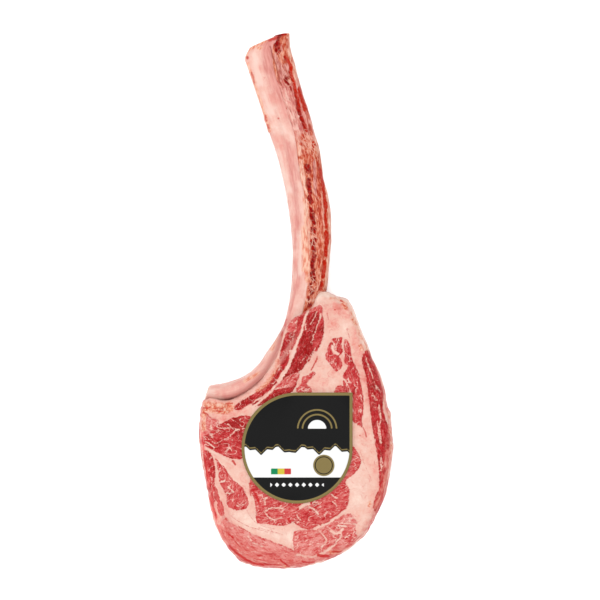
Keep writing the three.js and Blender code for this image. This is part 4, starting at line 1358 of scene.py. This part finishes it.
def bone_material():
    """Pink membrane with dusky hollows that are partly painted shade, pale ridges, orange bands and specks
    of blood, with painted shade in the creases by the strip and in the groove beside the steak.
    """
    p = Paint("membrane_on_bone")
    place = p.vector("place")
    dusk_and_shade, cream, amber = p.parts("tint")
    red, crease_shade, shade = p.parts("spots")
    fray = p.swing(p.noise(p.stretch(place, 0.16), 2.2, 3, 0.6), 4.5)
    fine = p.swing(p.noise(p.stretch(place, 0.5), 0.9), 0.8)
    streak = p.noise(p.stretch(place, 0.14), 1.6, 3, 0.6)
    tone = p.total(p.noise(p.place, 11, 3), p.swing(streak, 0.15), p.swing(p.noise(p.place, 1.7, 3), 0.12))
    colour = p.ramp(tone, (0.3, (238, 166, 154)), (0.46, (241, 184, 171)), (0.6, (246, 200, 186)),
                    (0.75, (249, 214, 201)))
    deep = p.ramp(streak, (0.36, (212, 132, 123)), (0.64, (236, 163, 153)))
    band = p.ramp(p.noise(p.stretch(place, 0.3), 1.4, 3), (0.38, (226, 124, 96)), (0.5, (244, 180, 152)),
                  (0.62, (250, 204, 180)))
    # Dusky tint, partly painted shade in the hollows and along the groove beside the steak
    colour = p.cover(colour, deep, p.total(dusk_and_shade, fray), -2.8, 2.2, 0.85)
    colour = p.cover(colour, (249, 214, 201), p.total(cream, fray), -1.8, 1.8, 0.8)
    colour = p.cover(colour, band, p.total(amber, p.times(fray, 0.15)), -0.9, 0.5, 0.9)
    # Painted shade in the groove beside the steak
    colour = p.mix(p.times(shade, 0.8), colour, (202, 128, 119))
    # Painted shade in the creases by the strip
    colour = p.cover(colour, (166, 84, 78), p.total(crease_shade, p.times(fine, 0.3)), -0.5, 0.2, 0.8)
    colour = p.cover(colour, (200, 56, 52), p.total(red, fine), -0.6, 0.4, 0.85)
    roughness = p.step(p.noise(p.place, 5), 0.35, 0.65, 0.32, 0.52)
    return p.finish(sawn_colour(p, colour), roughness, streak, 0.2)


def blood_colour(p, across):
    """Dark clotted meat, brighter on the strip's outer side."""
    blood = p.ramp(p.noise(p.place, 1.8, 3), (0.36, (128, 6, 4)), (0.5, (148, 18, 10)),
                   (0.64, (180, 44, 32)))
    return p.cover(blood, (206, 54, 22), across, 0, 5, 0.75)


def trim_material():
    """Streaky meat under membrane, with grey sinew, brown and dark red patches and a pale net."""
    p = Paint("rib_meat")
    place = p.vector("place")
    along, across, _ = p.split(place)
    dark, brown, pale = p.parts("tint")
    grey, crease_shade, net = p.parts("sinew")
    fray = p.total(p.swing(p.noise(p.stretch(place, 0.35), 2, 2, 0.6), 1.2),
                   p.swing(p.noise(p.place, 0.8, 1), 0.5))
    streak = p.noise(p.warp(p.stretch(place, 0.24), 2.5, 0.6), 1.2, 3, 0.65)
    thread = p.noise(p.stretch(place, 0.12), 0.6, 2, 0.6)
    web = p.step(p.edges(p.warp(p.slant(place, 0.5, 2.2), 2.6, 0.6), 2.4), 0.32, 0.06)
    web = p.times(web, net)
    colour = p.ramp(streak, (0.36, (178, 58, 38)), (0.45, (204, 98, 74)), (0.53, (224, 134, 108)),
                    (0.64, (248, 186, 160)))
    light = p.ramp(streak, (0.38, (235, 154, 132)), (0.5, (246, 187, 165)), (0.62, (252, 214, 194)))
    dull = p.ramp(streak, (0.36, (178, 100, 92)), (0.5, (208, 134, 126)), (0.62, (236, 176, 166)))
    rust = p.ramp(streak, (0.36, (168, 42, 26)), (0.5, (200, 78, 56)), (0.62, (228, 128, 104)))
    colour = p.cover(colour, light, p.total(pale, fray), -0.8, 0.6, 0.85)
    rosy = p.times(p.step(along, 25, 40), p.step(along, 90, 70), 0.3)
    colour = p.mix(rosy, colour, (232, 168, 176))
    colour = p.cover(colour, dull, p.total(grey, fray), -0.7, 0.5, 0.85)
    colour = p.cover(colour, rust, p.total(brown, fray), -0.7, 0.5, 0.85)
    colour = p.cover(colour, (142, 42, 32), thread, 0.55, 0.66, 0.6)
    colour = p.cover(colour, blood_colour(p, across), p.total(dark, fray), -0.5, 0.2)
    colour = p.mix(web, colour, (243, 182, 160))
    # Painted shade in the creases by the rib
    colour = p.cover(colour, (160, 72, 62), crease_shade, -0.5, 0.2, 0.75)
    colour = p.cover(colour, (160, 36, 30), p.parts("ends")[0], 0.02, 0.1, 0.6)
    height = p.total(p.times(streak, 0.7), p.times(web, 0.25))
    return p.finish(colour, p.step(streak, 0.35, 0.65, 0.5, 0.36), height, 0.3, TRIM_IOR)


def label_material():
    """A black sheet with a plain generic print: hills, discs and bars, without any words."""
    p = Paint("printed_label")
    depth, white, gold = p.parts("print")
    disc, moon, bars = p.parts("badges")
    black, pale, brass = (34, 34, 34), (248, 248, 247), (139, 123, 80)
    across = p.split(p.place)[0]

    def ink(colour, paint, value):
        return p.cover(colour, paint, value, -0.12, 0.12)

    flag = (30, 140, 92)
    for paint, start in (((214, 196, 74), -14.5), ((206, 70, 68), -9.5)):
        flag = ink(flag, paint, p.math("SUBTRACT", across, LABEL_CENTRE[0] + start))
    disc_rim = p.math("SUBTRACT", 0.35, p.math("ABSOLUTE", p.math("SUBTRACT", disc, 1.6)))
    edge = p.math("SUBTRACT", LABEL_MARGIN, depth)
    colour = black
    prints = ((pale, white), (brass, gold), (flag, bars), (brass, disc), (black, disc_rim), (pale, moon),
              (brass, edge))
    for paint, value in prints:
        colour = ink(colour, paint, value)
    return p.finish(colour, 0.45, p.noise(p.place, 0.8), 0.02)


# Floor, light and camera

def soft_box(name, place, size, power):
    """A square lamp that faces the middle of the floor, given in metres and watts."""
    lamp = bpy.data.lights.new(name, "AREA")
    lamp.shape, lamp.size, lamp.energy = "SQUARE", size, power
    made = bpy.data.objects.new(name, lamp)
    made.location = place
    made.rotation_euler = (-Vector(place)).to_track_quat("-Z", "Y").to_euler()
    bpy.context.collection.objects.link(made)


def studio():
    """A large lamp overhead, a little to the upper right, and a low ring of soft boxes all round, which is
    brightest on the left."""
    soft_box("overhead", OVERHEAD_PLACE, OVERHEAD_SIZE, OVERHEAD_POWER)
    for k in range(RING_COUNT):
        turn = 2 * math.pi * k / RING_COUNT
        power = RING_POWER * (1 + RING_SWAY * math.cos(turn))
        turn += math.radians(RING_FROM)
        place = (RING_REACH * math.cos(turn), RING_REACH * math.sin(turn), RING_HEIGHT)
        soft_box(f"ring_{k}", place, RING_SIZE, power)
    world = bpy.data.worlds.new("studio")
    world.use_nodes = True
    world.node_tree.nodes["Background"].inputs["Color"].default_value = (1, 1, 1, 1)
    world.node_tree.nodes["Background"].inputs["Strength"].default_value = WORLD_LIGHT
    bpy.context.scene.world = world
    bpy.context.scene.view_settings.view_transform = "Standard"


def floor():
    turns = ((-1, -1), (1, -1), (1, 1), (-1, 1))
    corners = [(x * FLOOR_HALF, y * FLOOR_HALF, -FLOOR_DROP) for x, y in turns]
    mesh = bpy.data.meshes.new("floor")
    mesh.from_pydata(corners, [], [(0, 1, 2, 3)])
    plane = bpy.data.objects.new("floor", mesh)
    bpy.context.collection.objects.link(plane)
    p = Paint("white_floor")
    mesh.materials.append(p.finish(FLOOR_COLOUR, 0.9, p.noise(p.place, 30), 0.01))


def camera():
    """Straight above and far off, so that the picture is VIEW_WIDTH wide at the steak's middle height."""
    lens = bpy.data.cameras.new("camera")
    lens.sensor_width = 36
    lens.lens = lens.sensor_width * (CAMERA_HEIGHT - FOCUS_HEIGHT) / VIEW_WIDTH
    lens.clip_end = 20
    made = bpy.data.objects.new("camera", lens)
    made.location = (*VIEW_MIDDLE, CAMERA_HEIGHT)
    bpy.context.collection.objects.link(made)
    bpy.context.scene.camera = made


steak_piece(meat_material())
bone_piece(bone_material())
trim_piece(trim_material())
label_piece(label_material())
floor()
studio()
camera()
